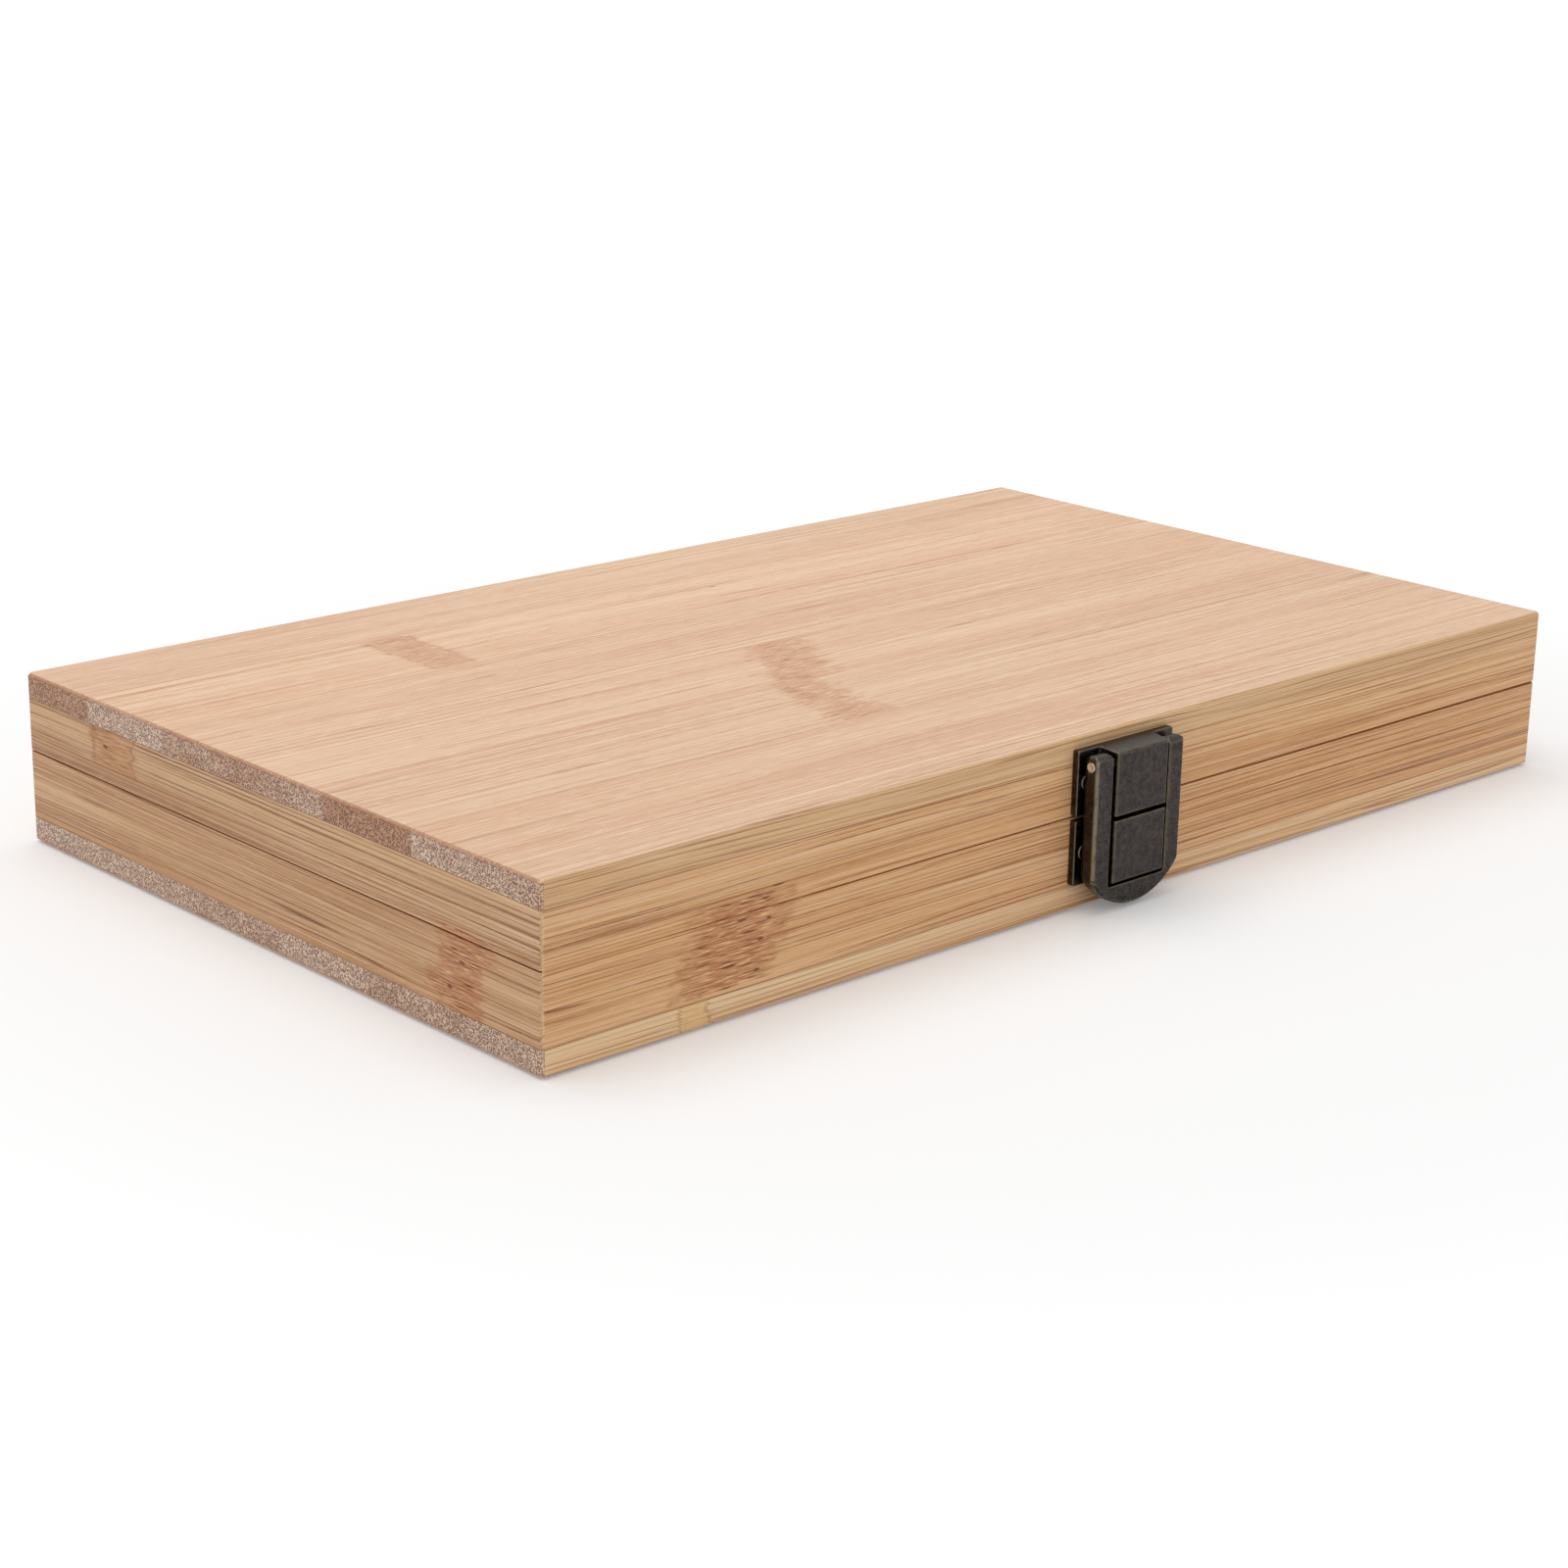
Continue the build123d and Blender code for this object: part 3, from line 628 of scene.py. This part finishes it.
def choose(kind, test):
    """Selects the faces or edges of the open mesh that pass a test of their middle and of
    themselves."""
    bpy.ops.mesh.select_all(action="DESELECT")
    bpy.ops.mesh.select_mode(type=kind)
    mesh = bmesh.from_edit_mesh(bpy.context.edit_object.data)
    mesh.normal_update()
    for item in (mesh.faces if kind == "FACE" else mesh.edges):
        middle = sum((corner.co for corner in item.verts), Vector()) / len(item.verts)
        if test(middle, item):
            item.select_set(True)
    bmesh.update_edit_mesh(bpy.context.edit_object.data)


def pull(x, y, z):
    """Extrudes what is selected."""
    bpy.ops.mesh.extrude_region_move(TRANSFORM_OT_translate={"value": (x, y, z)})


def scale_about(middle, x, y, z):
    """Resizes what is selected about a point."""
    bpy.ops.transform.resize(value=(x, y, z), center_override=middle)


def quarter_round(radius, steps, way):
    """Draws each chosen face in along a quarter circle, out of the piece (1) or into it (-1)."""
    for step in range(steps):
        here, there = (math.pi / 2 * k / steps for k in (step, step + 1))
        bpy.ops.mesh.inset(thickness=radius * (math.cos(here) - math.cos(there)),
                           depth=way * radius * (math.sin(there) - math.sin(here)),
                           use_individual=True)


print("a mesh can be opened and shaped")

# %% [markdown]
# ## Finishing a piece
# A finished piece stands at the origin, unturned and unscaled, with its place in its mesh, as the
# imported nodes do. Modifiers are applied, so that the mesh is the real shape. Seating a piece gives
# it its material, hides the node that it stands for, and makes it move with that node's body.

# %% Helpers for finishing
def apply(piece, kind, **settings):
    """Adds a modifier and applies it."""
    only(piece)
    modifier = piece.modifiers.new(kind.lower(), kind)
    for name, value in settings.items():
        setattr(modifier, name, value)
    bpy.ops.object.modifier_apply(modifier=modifier.name)


def ease_edges(piece, width, segments, sharper_than):
    """Bevels every edge that turns by more than an angle in degrees."""
    apply(piece, "BEVEL", width=width, segments=segments, limit_method="ANGLE",
          angle_limit=math.radians(sharper_than))


def smooth(piece, angle):
    """Shades a piece smooth, with edges that turn by more than an angle in degrees kept sharp."""
    only(piece)
    bpy.ops.object.shade_smooth_by_angle(angle=math.radians(angle))


def copy_of_node(node, name):
    """A copy of a CAD node, opened, with its loose triangles joined into one skin."""
    piece = bpy.data.objects.new(name, nodes[node].data.copy())
    bpy.context.scene.collection.objects.link(piece)
    open_mesh(piece)
    bpy.ops.mesh.select_all(action="SELECT")
    bpy.ops.mesh.remove_doubles(threshold=0.002 * mm)
    return piece


def place_in_mesh(piece):
    """Moves a piece's place, turn and size into its mesh."""
    only(piece)
    bpy.ops.object.transform_apply(location=True, rotation=True, scale=True)


def twin(piece, name, move=(0.0, 0.0, 0.0)):
    """A copy of a piece with a mesh of its own."""
    made = bpy.data.objects.new(name, piece.data.copy())
    bpy.context.scene.collection.objects.link(made)
    made.location = move
    place_in_mesh(made)
    return made


def seat(piece, node, material):
    """Finishes a piece that stands for a CAD node: its material, its body and what it replaces."""
    piece.data.materials.clear()
    piece.data.materials.append(material)
    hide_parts(node)
    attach(piece, nodes[node]["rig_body"])
    return piece


def facets(piece):
    """How many triangles a piece has."""
    piece.data.calc_loop_triangles()
    return len(piece.data.loop_triangles)


print("pieces can be seated on", len(nodes), "nodes")

# %% [markdown]
# ## Boards
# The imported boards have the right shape, with knife edges where a plane or sandpaper would have
# taken off the arris. Each is copied, its loose triangles are joined back into flat faces, and a
# small bevel goes round every edge. The saw cut and the glue joints then show as fine soft lines,
# as real ones do. The saw cut isn't quite even: in front it is nearly closed at the left end and
# gapes a little at the right. Inside, the two rims meet, so that no daylight shows through. The
# bottom panel's lower edges are sanded round, in steps that stay within its outline, where a wide
# bevel would reach past it. The faces stay flat shaded, because smoothing would bend the light over
# them.

# %% Boards with eased edges
planed, sawn, sanded_round = 0.07 * mm, 0.045 * mm, 0.6 * mm
left_rise, right_rise = 0.09 * mm, -0.14 * mm
inner_gap = 0.05 * mm
saw_middle = (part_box("base_front_wall")[1].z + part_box("lid_front_wall")[0].z) / 2


def lift_rim(rim, rises):
    """Moves the ends of a wall's sawn rim, and lets its inner edge meet the other half."""
    for end, rise in zip((-1, 1), rises):
        choose("EDGE", lambda middle, edge: abs(middle.z - rim) < 0.02 * mm
               and end * middle.x > 100 * mm)
        bpy.ops.transform.translate(value=(0.0, 0.0, rise))
    choose("EDGE", lambda middle, edge: abs(middle.z - rim) < 0.1 * mm
           and edge.calc_length() > 100 * mm
           and abs(middle.x) < (half_x - 1) * mm and abs(middle.y) < (half_y - 1) * mm)
    meets = saw_middle + math.copysign(inner_gap / 2, rim - saw_middle)
    scale_about((0.0, 0.0, meets), 1.0, 1.0, 0.0)


def eased_board(node, material, ease=planed, rim=None, rises=(0.0, 0.0), sanded=0.0):
    """A copy of a board with eased edges. It can have a sawn rim, whose left and right ends rise by
    so much, and lower edges that are sanded round."""
    piece = copy_of_node(node, f"{node}_board")
    bpy.ops.mesh.dissolve_limited(angle_limit=math.radians(1.0))
    if rim:
        lift_rim(rim, rises)
    if sanded:
        choose("FACE", lambda middle, face: face.normal.z < -0.99)
        bpy.ops.transform.translate(value=(0.0, 0.0, sanded))
        quarter_round(sanded, 4, 1)
    close_mesh()
    ease_edges(piece, ease, 2, 30)
    return seat(piece, node, material)


boards = [eased_board("lid_top_panel", bamboo_top),
          eased_board("base_bottom_panel", bamboo_under, sanded=sanded_round)]
side_bamboo = {"front": bamboo_front, "back": bamboo_back,
               "left": bamboo_left, "right": bamboo_right}
for half_of_box in ("base", "lid"):
    for side, wood in side_bamboo.items():
        low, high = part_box(f"{half_of_box}_{side}_wall")
        rim, up = (high.z, 1) if half_of_box == "base" else (low.z, -1)
        rises = (left_rise * up, right_rise * up) if side == "front" else (0.0, 0.0)
        boards.append(eased_board(f"{half_of_box}_{side}_wall", wood, sawn, rim, rises))
boards += [eased_board(rail, bamboo_rails) for rail in ("front_rail", "middle_rail", "back_rail")]
boards.append(eased_board("pan_divider", bamboo_divider))
print(len(boards), "boards, the largest of", max(facets(board) for board in boards), "triangles")

# %% [markdown]
# ## Worn bronze
# The latch and hinges are cast and stamped, coloured nearly black, and rubbed bright where hands
# and neighbours touch them. Pointiness, which the renderer works out for each point of a fine mesh,
# is high on sharp outer edges, so it says where the colour has gone. It needs many small faces,
# which the remeshed pieces have. The wear is broken up by noise so that no edge is evenly bright.

# %% Edge wear group
wear, wear_in, wear_out = new_group(
    "Edge wear", {"From": "Float", "To": "Float"}, {"Wear_and_highlight": "Float"})
pointed = add(wear, "NewGeometry").outputs["Pointiness"]
span = {"Value": pointed, "From Min": wear_in["From"], "From Max": wear_in["To"]}
sharp = add(wear, "MapRange", span).outputs[0]
rubbed = noise(wear, place_on_piece(wear), (0.5, 0.5, 0.35), detail=3.0, roughness=0.65).outputs[0]
worn = times(wear, sharp, soft_step(wear, rubbed, 0.30, 0.52, 0.15, 1.0))
wear.links.new(worn, wear_out["Wear_and_highlight"])
print("edge wear group has", len(wear.nodes), "nodes")

# %% [markdown]
# ## Bronze and steel
# Antique bronze is nearly black, mottled, and pitted finely all over. Grit of two signs gives it
# dark pits and pale grains. Its rubbed edges go olive first and bright only at the sharpest places,
# so the wear group is placed twice. The pins are drawn steel wire, bright along their length.

# %% Metals
near_black, dark_brown = (0.030, 0.024, 0.021, 1), (0.060, 0.052, 0.048, 1)
pit, pale_grain = (0.016, 0.012, 0.011, 1), (0.22, 0.20, 0.18, 1)
olive_wear, bright_wear = (0.15, 0.12, 0.07, 1), (0.25, 0.215, 0.15, 1)

bronze, tree, shader = new_material("antique_bronze")
point = place_on_piece(tree)
mottle = noise(tree, point, (0.8, 0.8, 0.8), detail=5.0, roughness=0.72).outputs[0]
grit = noise(tree, point, (5.2, 5.2, 5.2), detail=3.0, roughness=0.7).outputs[0]
colour = mixed(tree, soft_step(tree, mottle, 0.35, 0.65), near_black, dark_brown)
colour = mixed(tree, soft_step(tree, grit, 0.45, 0.30, 0.0, 0.55), colour, pit)
colour = mixed(tree, soft_step(tree, grit, 0.56, 0.70, 0.0, 0.70), colour, pale_grain)
for start, full, strength, tint in ((0.503, 0.525, 0.60, olive_wear),
                                    (0.525, 0.58, 0.55, bright_wear)):
    worn = place_group(tree, wear, {"From": start, "To": full})["Wear_and_highlight"]
    colour = laid_over(tree, colour, tint, worn, strength)
tree.links.new(colour, shader.inputs["Base Color"])
tree.links.new(soft_step(tree, mottle, 0.3, 0.7, 0.26, 0.42), shader.inputs["Roughness"])
height = maths(tree, "MULTIPLY_ADD", grit, 0.45, mottle)
bump = add(tree, "Bump", {"Height": height, "Strength": 0.5, "Distance": 0.08 * mm})
tree.links.new(bump.outputs[0], shader.inputs["Normal"])
shader.inputs["Metallic"].default_value = 1.0

steel, tree, shader = new_material("bright_steel")
drawn = noise(tree, place_on_piece(tree), (0.3, 3.5, 3.5), detail=2.0).outputs[0]
colour = mixed(tree, soft_step(tree, drawn, 0.3, 0.7), (0.72, 0.72, 0.74, 1), (0.84, 0.84, 0.86, 1))
tree.links.new(colour, shader.inputs["Base Color"])
tree.links.new(soft_step(tree, drawn, 0.3, 0.7, 0.22, 0.38), shader.inputs["Roughness"])
shader.inputs["Metallic"].default_value = 1.0
print("metals", bronze.name, steel.name)

# %% [markdown]
# ## Latch and hinges
# A casting has no knife edge anywhere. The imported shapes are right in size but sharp, so each is
# copied, its loose triangles are joined, and the copy is remeshed in fine even faces and smoothed
# a little. That rounds every edge alike, and the many small faces are what the edge wear needs. A
# bevel would have to find its way round the drafted blocks and the bored arms. Remeshing can put a
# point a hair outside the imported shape, so the skin is drawn in by as much.

# %% Cast pieces
def cast_copy(node, grain_size, rounds):
    """A copy of a CAD node in fine even faces, with its edges softened."""
    piece = copy_of_node(node, f"{node}_cast")
    close_mesh()
    apply(piece, "REMESH", mode="VOXEL", voxel_size=grain_size)
    apply(piece, "SMOOTH", factor=0.5, iterations=rounds)
    apply(piece, "DISPLACE", strength=-0.002 * mm, mid_level=0.0)
    only(piece)
    bpy.ops.object.shade_smooth()
    return seat(piece, node, bronze)


latch_grain = 0.125 * mm
hinge_grain = 0.15 * mm
cast = [cast_copy(node, latch_grain, 3)
        for node in ("latch_clasp", "latch_lid_plate", "latch_base_plate")]
for side in ("left", "right"):
    cast += [cast_copy(f"{side}_hinge_{half}_leaf", hinge_grain, 2) for half in ("base", "lid")]
print("cast pieces", {piece.name: facets(piece) for piece in cast})

# %% [markdown]
# ## Nails
# Small domed brads hold the hinges and the latch plates. One is modelled: a thin disc whose upper
# face is drawn up in shrinking steps into a dome, and whose lower face becomes a shank with a
# point. Each pair of nails is then two copies, turned to face out of the front or the back.

# %% One nail and its copies
head_radius, shank_radius = 1.3 * mm, 0.5 * mm
head_foot = 0.08 * mm
dome_steps = ((0.09, 0.94), (0.07, 0.85), (0.045, 0.70), (0.015, 0.50))
head_height = head_foot + sum(rise for rise, share in dome_steps) * mm
shank_length, point_length = 3.4 * mm, 1.2 * mm
bpy.ops.object.select_all(action="DESELECT")
bpy.ops.mesh.primitive_cylinder_add(vertices=40, radius=head_radius, depth=head_foot,
                                    location=(0.0, 0.0, head_foot / 2))
nail = bpy.context.object
place_in_mesh(nail)
open_mesh(nail)
choose("FACE", lambda middle, face: face.normal.z > 0.9)
level = head_foot
for rise, share in dome_steps:
    pull(0.0, 0.0, rise * mm)
    level += rise * mm
    scale_about((0.0, 0.0, level), share, share, 1.0)
choose("FACE", lambda middle, face: face.normal.z < -0.9)
bpy.ops.mesh.inset(thickness=head_radius - shank_radius)
pull(0.0, 0.0, -shank_length)
pull(0.0, 0.0, -point_length)
scale_about((0.0, 0.0, -shank_length - point_length), 0.12, 0.12, 1.0)
close_mesh()
smooth(nail, 50)


def nail_pair(node, outwards):
    """Two nails in the place of a CAD node's pair, with their heads facing out along Y."""
    low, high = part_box(node)
    head_face = (high.y if outwards > 0 else low.y) - outwards * head_height
    pair = []
    for x in (low.x + head_radius, high.x - head_radius):
        one = twin(nail, f"{node}_pair")
        one.rotation_euler = (-outwards * math.pi / 2, 0.0, 0.0)
        one.location = (x, head_face, (low.z + high.z) / 2)
        place_in_mesh(one)
        pair.append(one)
    only(pair[0])
    pair[1].select_set(True)
    bpy.ops.object.join()
    return seat(pair[0], node, bronze)


nail_pairs = [nail_pair(node, -1) for node in ("latch_base_nails", "latch_lid_nails")]
for side in ("left", "right"):
    nail_pairs += [nail_pair(f"{side}_hinge_{half}_nails", 1) for half in ("base", "lid")]
bpy.data.objects.remove(nail)
print("nail pairs", len(nail_pairs), "of", facets(nail_pairs[0]), "triangles")

# %% [markdown]
# ## Pins
# The pins are lengths of bright wire. Their sawn ends show beside the latch's arms: a flat disc
# with a broken edge and a shallow ring where it was upset in the press.

# %% Steel pins
def wire_pin(node, ring):
    """A pin along X in the place of a CAD node, its ends eased, with a shallow ring in each."""
    low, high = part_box(node)
    radius = (high.z - low.z) / 2
    bpy.ops.object.select_all(action="DESELECT")
    bpy.ops.mesh.primitive_cylinder_add(vertices=48, radius=radius, depth=high.x - low.x,
                                        location=(low + high) / 2, rotation=(0.0, math.pi / 2, 0.0))
    pin = bpy.context.object
    pin.name = f"{node}_wire"
    place_in_mesh(pin)
    open_mesh(pin)
    choose("FACE", lambda middle, face: abs(face.normal.x) > 0.9)
    bpy.ops.mesh.bevel(offset=0.12 * radius, segments=2, affect="EDGES")
    choose("FACE", lambda middle, face: abs(face.normal.x) > 0.99 and len(face.verts) > 12)
    bpy.ops.mesh.inset(thickness=ring, use_individual=True)
    bpy.ops.mesh.inset(thickness=0.08 * radius, depth=-0.05 * radius, use_individual=True)
    close_mesh()
    smooth(pin, 40)
    return seat(pin, node, steel)


pins = [wire_pin(node, 0.3 * mm) for node in ("latch_pin", "left_hinge_pin", "right_hinge_pin")]
print("pins", {pin.name: facets(pin) for pin in pins})

# %% [markdown]
# ## White mouldings
# The half pans and the mixing tray are injection moulded in glossy white plastic. Nothing on them
# is quite flat or quite sharp: the walls lean so that the mould lets go, and all edges are eased.
# The gloss varies a little where the surface sank as it cooled.

# %% White plastic
plastic, tree, shader = new_material("white_plastic")
place = place_on_piece(tree)
sink = noise(tree, place, (0.12, 0.12, 0.12), detail=2.0).outputs[0]
skin = noise(tree, place, (2.2, 2.2, 2.2), detail=1.0).outputs[0]
white = mixed(tree, sink, (0.80, 0.80, 0.78, 1), (0.85, 0.85, 0.84, 1))
tree.links.new(white, shader.inputs["Base Color"])
tree.links.new(soft_step(tree, sink, 0.3, 0.7, 0.22, 0.27), shader.inputs["Roughness"])
bump = add(tree, "Bump", {"Height": maths(tree, "MULTIPLY_ADD", skin, 0.15, sink),
                          "Strength": 0.10, "Distance": 0.10 * mm})
tree.links.new(bump.outputs[0], shader.inputs["Normal"])
print("plastic", plastic.name)

# %% [markdown]
# ## Half pans
# A half pan is a small cup, 19 by 16 by 10 mm, with a rim all round. One is modelled from a block:
# the foot is drawn in for the draft, the top is flared into the rim, the inside is sunk from an
# inset of the top, and then the corners are rounded. The round where the floor meets the walls is
# made by insets that sink in steps along a quarter circle, which keeps its corners clean. The other
# pans are copies of it.

# %% Measures of a half pan
def upright(edge, least):
    """Whether an edge climbs by at least a given height."""
    return abs(edge.verts[0].co.z - edge.verts[1].co.z) > least


pan_nodes = sorted(name for name in nodes if name.startswith("half_pan_"))
pan_low, pan_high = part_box(pan_nodes[0])
pan_size = pan_high - pan_low
rim_height, rim_reach = 1.0 * mm, 0.6 * mm
pan_wall, pan_floor, pan_foot = 0.9 * mm, 1.1 * mm, 0.9 * mm
inside_round, outside_round = 1.4 * mm, 1.2 * mm
body_height = pan_size.z - rim_height
draw = math.tan(math.radians(3.0))
body_x, body_y = pan_size.x - 2 * rim_reach, pan_size.y - 2 * rim_reach
print("a pan's body is", round(body_x / mm, 2), "by", round(body_y / mm, 2), "mm at its rim")

# %% [markdown]
# ## From a block to a pan
# Each step selects by place or direction, so the numbers above can change and the steps still find
# their faces. The flare of the rim is an extrusion of no height that is then made wider. Bevels of
# the upright corners come after the hollow is sunk, so inside and outside get rounds of their own.

# %% Shaping the pan and copying it
bpy.ops.object.select_all(action="DESELECT")
bpy.ops.mesh.primitive_cube_add(size=1.0, location=(0.0, 0.0, body_height / 2),
                                scale=(body_x, body_y, body_height))
pan = bpy.context.object
place_in_mesh(pan)
open_mesh(pan)
choose("FACE", lambda middle, face: face.normal.z < -0.9)
drawn_in = 2 * body_height * draw
scale_about((0.0, 0.0, 0.0), 1 - drawn_in / body_x, 1 - drawn_in / body_y, 1.0)
choose("FACE", lambda middle, face: face.normal.z > 0.9)
pull(0.0, 0.0, 0.0)
scale_about((0.0, 0.0, body_height), pan_size.x / body_x, pan_size.y / body_y, 1.0)
pull(0.0, 0.0, rim_height)
bpy.ops.mesh.inset(thickness=rim_reach + pan_wall)
depth = pan_size.z - pan_floor - pan_foot
pull(0.0, 0.0, -depth)
inner_x, inner_y = body_x - 2 * pan_wall, body_y - 2 * pan_wall
scale_about((0.0, 0.0, pan_size.z - depth), 1 - 2 * depth * draw / inner_x,
            1 - 2 * depth * draw / inner_y, 1.0)
hollow_x = inner_x / 2 + 0.05 * mm
choose("EDGE", lambda middle, edge: upright(edge, 0.5 * mm) and abs(middle.x) < hollow_x
       and abs(middle.y) < inner_y / 2 + 0.05 * mm)
bpy.ops.mesh.bevel(offset=inside_round, segments=5, affect="EDGES")
choose("EDGE", lambda middle, edge: abs(middle.x) > hollow_x and abs(middle.y) > inner_y / 2
       and middle.z < pan_size.z - 0.1 * mm)
bpy.ops.mesh.bevel(offset=outside_round, segments=5, affect="EDGES")
choose("FACE", lambda middle, face: face.normal.z > 0.9 and middle.z < pan_size.z - 2 * mm)
quarter_round(pan_foot, 4, -1)
close_mesh()
ease_edges(pan, 0.22 * mm, 2, 60)
smooth(pan, 40)

for node in pan_nodes:
    low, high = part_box(node)
    middle = (low + high) / 2
    seat(twin(pan, f"{node}_cup", (middle.x, middle.y, low.z)), node, plastic)
print(len(pan_nodes), "half pans of", facets(pan), "triangles")
bpy.data.objects.remove(pan)

# %% [markdown]
# ## Mixing tray
# The tray has five wells whose floors slope towards the front, so paint runs together there. It is
# cut from one block: the top is divided, each part is inset by half a web and sunk, the corners are
# rounded, and the foot of each well is drawn in like that of a pan. Then all the floors are tipped
# up together at the back.

# %% Mixing tray
tray_low, tray_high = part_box("mixing_tray")
tray_size = tray_high - tray_low
wells, web, tray_depth, slope_rise = 5, 2.0 * mm, 8.0 * mm, 3.4 * mm
well_foot, well_corner, tray_corner = 2.2 * mm, 3.4 * mm, 2.5 * mm
least_well = 500 * mm ** 2
bpy.ops.object.select_all(action="DESELECT")
bpy.ops.mesh.primitive_cube_add(size=1.0, location=(tray_low + tray_high) / 2, scale=tray_size)
tray = bpy.context.object
tray.name = "mixing_tray_moulding"
place_in_mesh(tray)
open_mesh(tray)
choose("FACE", lambda middle, face: face.normal.z > 0.9)
bpy.ops.mesh.inset(thickness=web / 2)
pitch = (tray_size.x - web) / wells
for number in range(1, wells):
    choose("FACE", lambda middle, face: face.normal.z > 0.9 and face.calc_area() > least_well)
    cut_x = tray_low.x + web / 2 + number * pitch
    bpy.ops.mesh.bisect(plane_co=(cut_x, 0.0, 0.0), plane_no=(1.0, 0.0, 0.0))
choose("FACE", lambda middle, face: face.normal.z > 0.9 and face.calc_area() > least_well)
bpy.ops.mesh.inset(thickness=web / 2, use_individual=True)
bpy.ops.mesh.inset(thickness=0.06 * mm, depth=-(tray_depth - well_foot), use_individual=True)
choose("EDGE", lambda middle, edge: upright(edge, 5 * mm)
       and middle.y > tray_low.y + 1 * mm and middle.y < tray_high.y - 1 * mm)
bpy.ops.mesh.bevel(offset=well_corner, segments=6, affect="EDGES")
choose("EDGE", lambda middle, edge: upright(edge, 9 * mm))
bpy.ops.mesh.bevel(offset=tray_corner, segments=6, affect="EDGES")
foot_level = tray_high.z - tray_depth + well_foot
choose("FACE", lambda middle, face: face.normal.z > 0.9 and middle.z < foot_level + 0.01 * mm)
quarter_round(well_foot, 6, -1)
choose("FACE", lambda middle, face: face.normal.z > 0.02
       and all(corner.co.z < foot_level + 0.01 * mm for corner in face.verts))
tip = math.atan(slope_rise / (tray_size.y - 2 * web))
bpy.ops.transform.rotate(value=-tip, orient_axis="X",
                         center_override=(0.0, tray_low.y + web, tray_high.z - tray_depth))
close_mesh()
ease_edges(tray, 0.35 * mm, 3, 60)
smooth(tray, 35)
seat(tray, "mixing_tray", plastic)
print("mixing tray of", facets(tray), "triangles")

# %% [markdown]
# ## Floor, backdrop and light
# The photograph has a white ground and soft even light from above. A wide pale floor takes the
# soft shadow, and glows more the further it is from the box, so that it fades into the backdrop.
# The world is white to the camera and to reflections, and dimmer as a source of light, so the sides
# of the box stay darker than its top. A brighter lamp would whiten the ground too, but it would
# bleach the bamboo.

# %% Floor and light
bpy.ops.object.select_all(action="DESELECT")
bpy.ops.mesh.primitive_plane_add(size=16.0, location=(0.0, 0.0, -0.0002))
floor = bpy.context.object
floor.name = "floor"
floor_paint, floor_tree, floor_shader = new_material("floor_paint")
floor_shader.inputs["Base Color"].default_value = (0.90, 0.90, 0.90, 1.0)
floor_shader.inputs["Roughness"].default_value = 0.9
floor_shader.inputs["Specular IOR Level"].default_value = 0.0
seen = add(floor_tree, "LightPath").outputs
seen = maths(floor_tree, "MAXIMUM", seen["Is Camera Ray"], seen["Is Glossy Ray"])
away = length_of(floor_tree, add(floor_tree, "TexCoord").outputs["Object"])
glow = soft_step(floor_tree, away, 0.15, 0.60, 0.16, 1.0)
floor_shader.inputs["Emission Color"].default_value = (1.0, 1.0, 1.0, 1.0)
floor_tree.links.new(times(floor_tree, glow, seen), floor_shader.inputs["Emission Strength"])
floor.data.materials.append(floor_paint)

world = bpy.data.worlds.new("studio")
world.use_nodes = True
bpy.context.scene.world = world
sky = world.node_tree
sky.nodes.clear()
path = add(sky, "LightPath").outputs
seen = maths(sky, "MAXIMUM", path["Is Camera Ray"], path["Is Glossy Ray"])
seen = maths(sky, "MAXIMUM", seen, path["Is Transmission Ray"])
sky_strength = soft_step(sky, seen, 0.0, 1.0, 0.62, 1.0)
background = add(sky, "Background", {"Color": (1.0, 1.0, 1.0, 1.0), "Strength": sky_strength})
add(sky, "OutputWorld", {"Surface": background.outputs[0]})


def soft_box(name, place, size, power):
    """A square lamp that faces the middle of the box."""
    lamp = bpy.data.lights.new(name, "AREA")
    lamp.shape = "SQUARE"
    lamp.size = size
    lamp.energy = power
    holder = bpy.data.objects.new(name, lamp)
    bpy.context.scene.collection.objects.link(holder)
    holder.location = place
    holder.rotation_euler = (-Vector(place)).to_track_quat("-Z", "Y").to_euler()
    return holder


lamp = soft_box("overhead", (-0.15, 0.25, 1.3), 1.1, 6.5)
print("lamp", lamp.name, "of", lamp.data.energy, "watts")

# %% [markdown]
# ## Finish
# The Standard view shows colours as they were written.

# %% Finish
bpy.context.scene.view_settings.view_transform = "Standard"
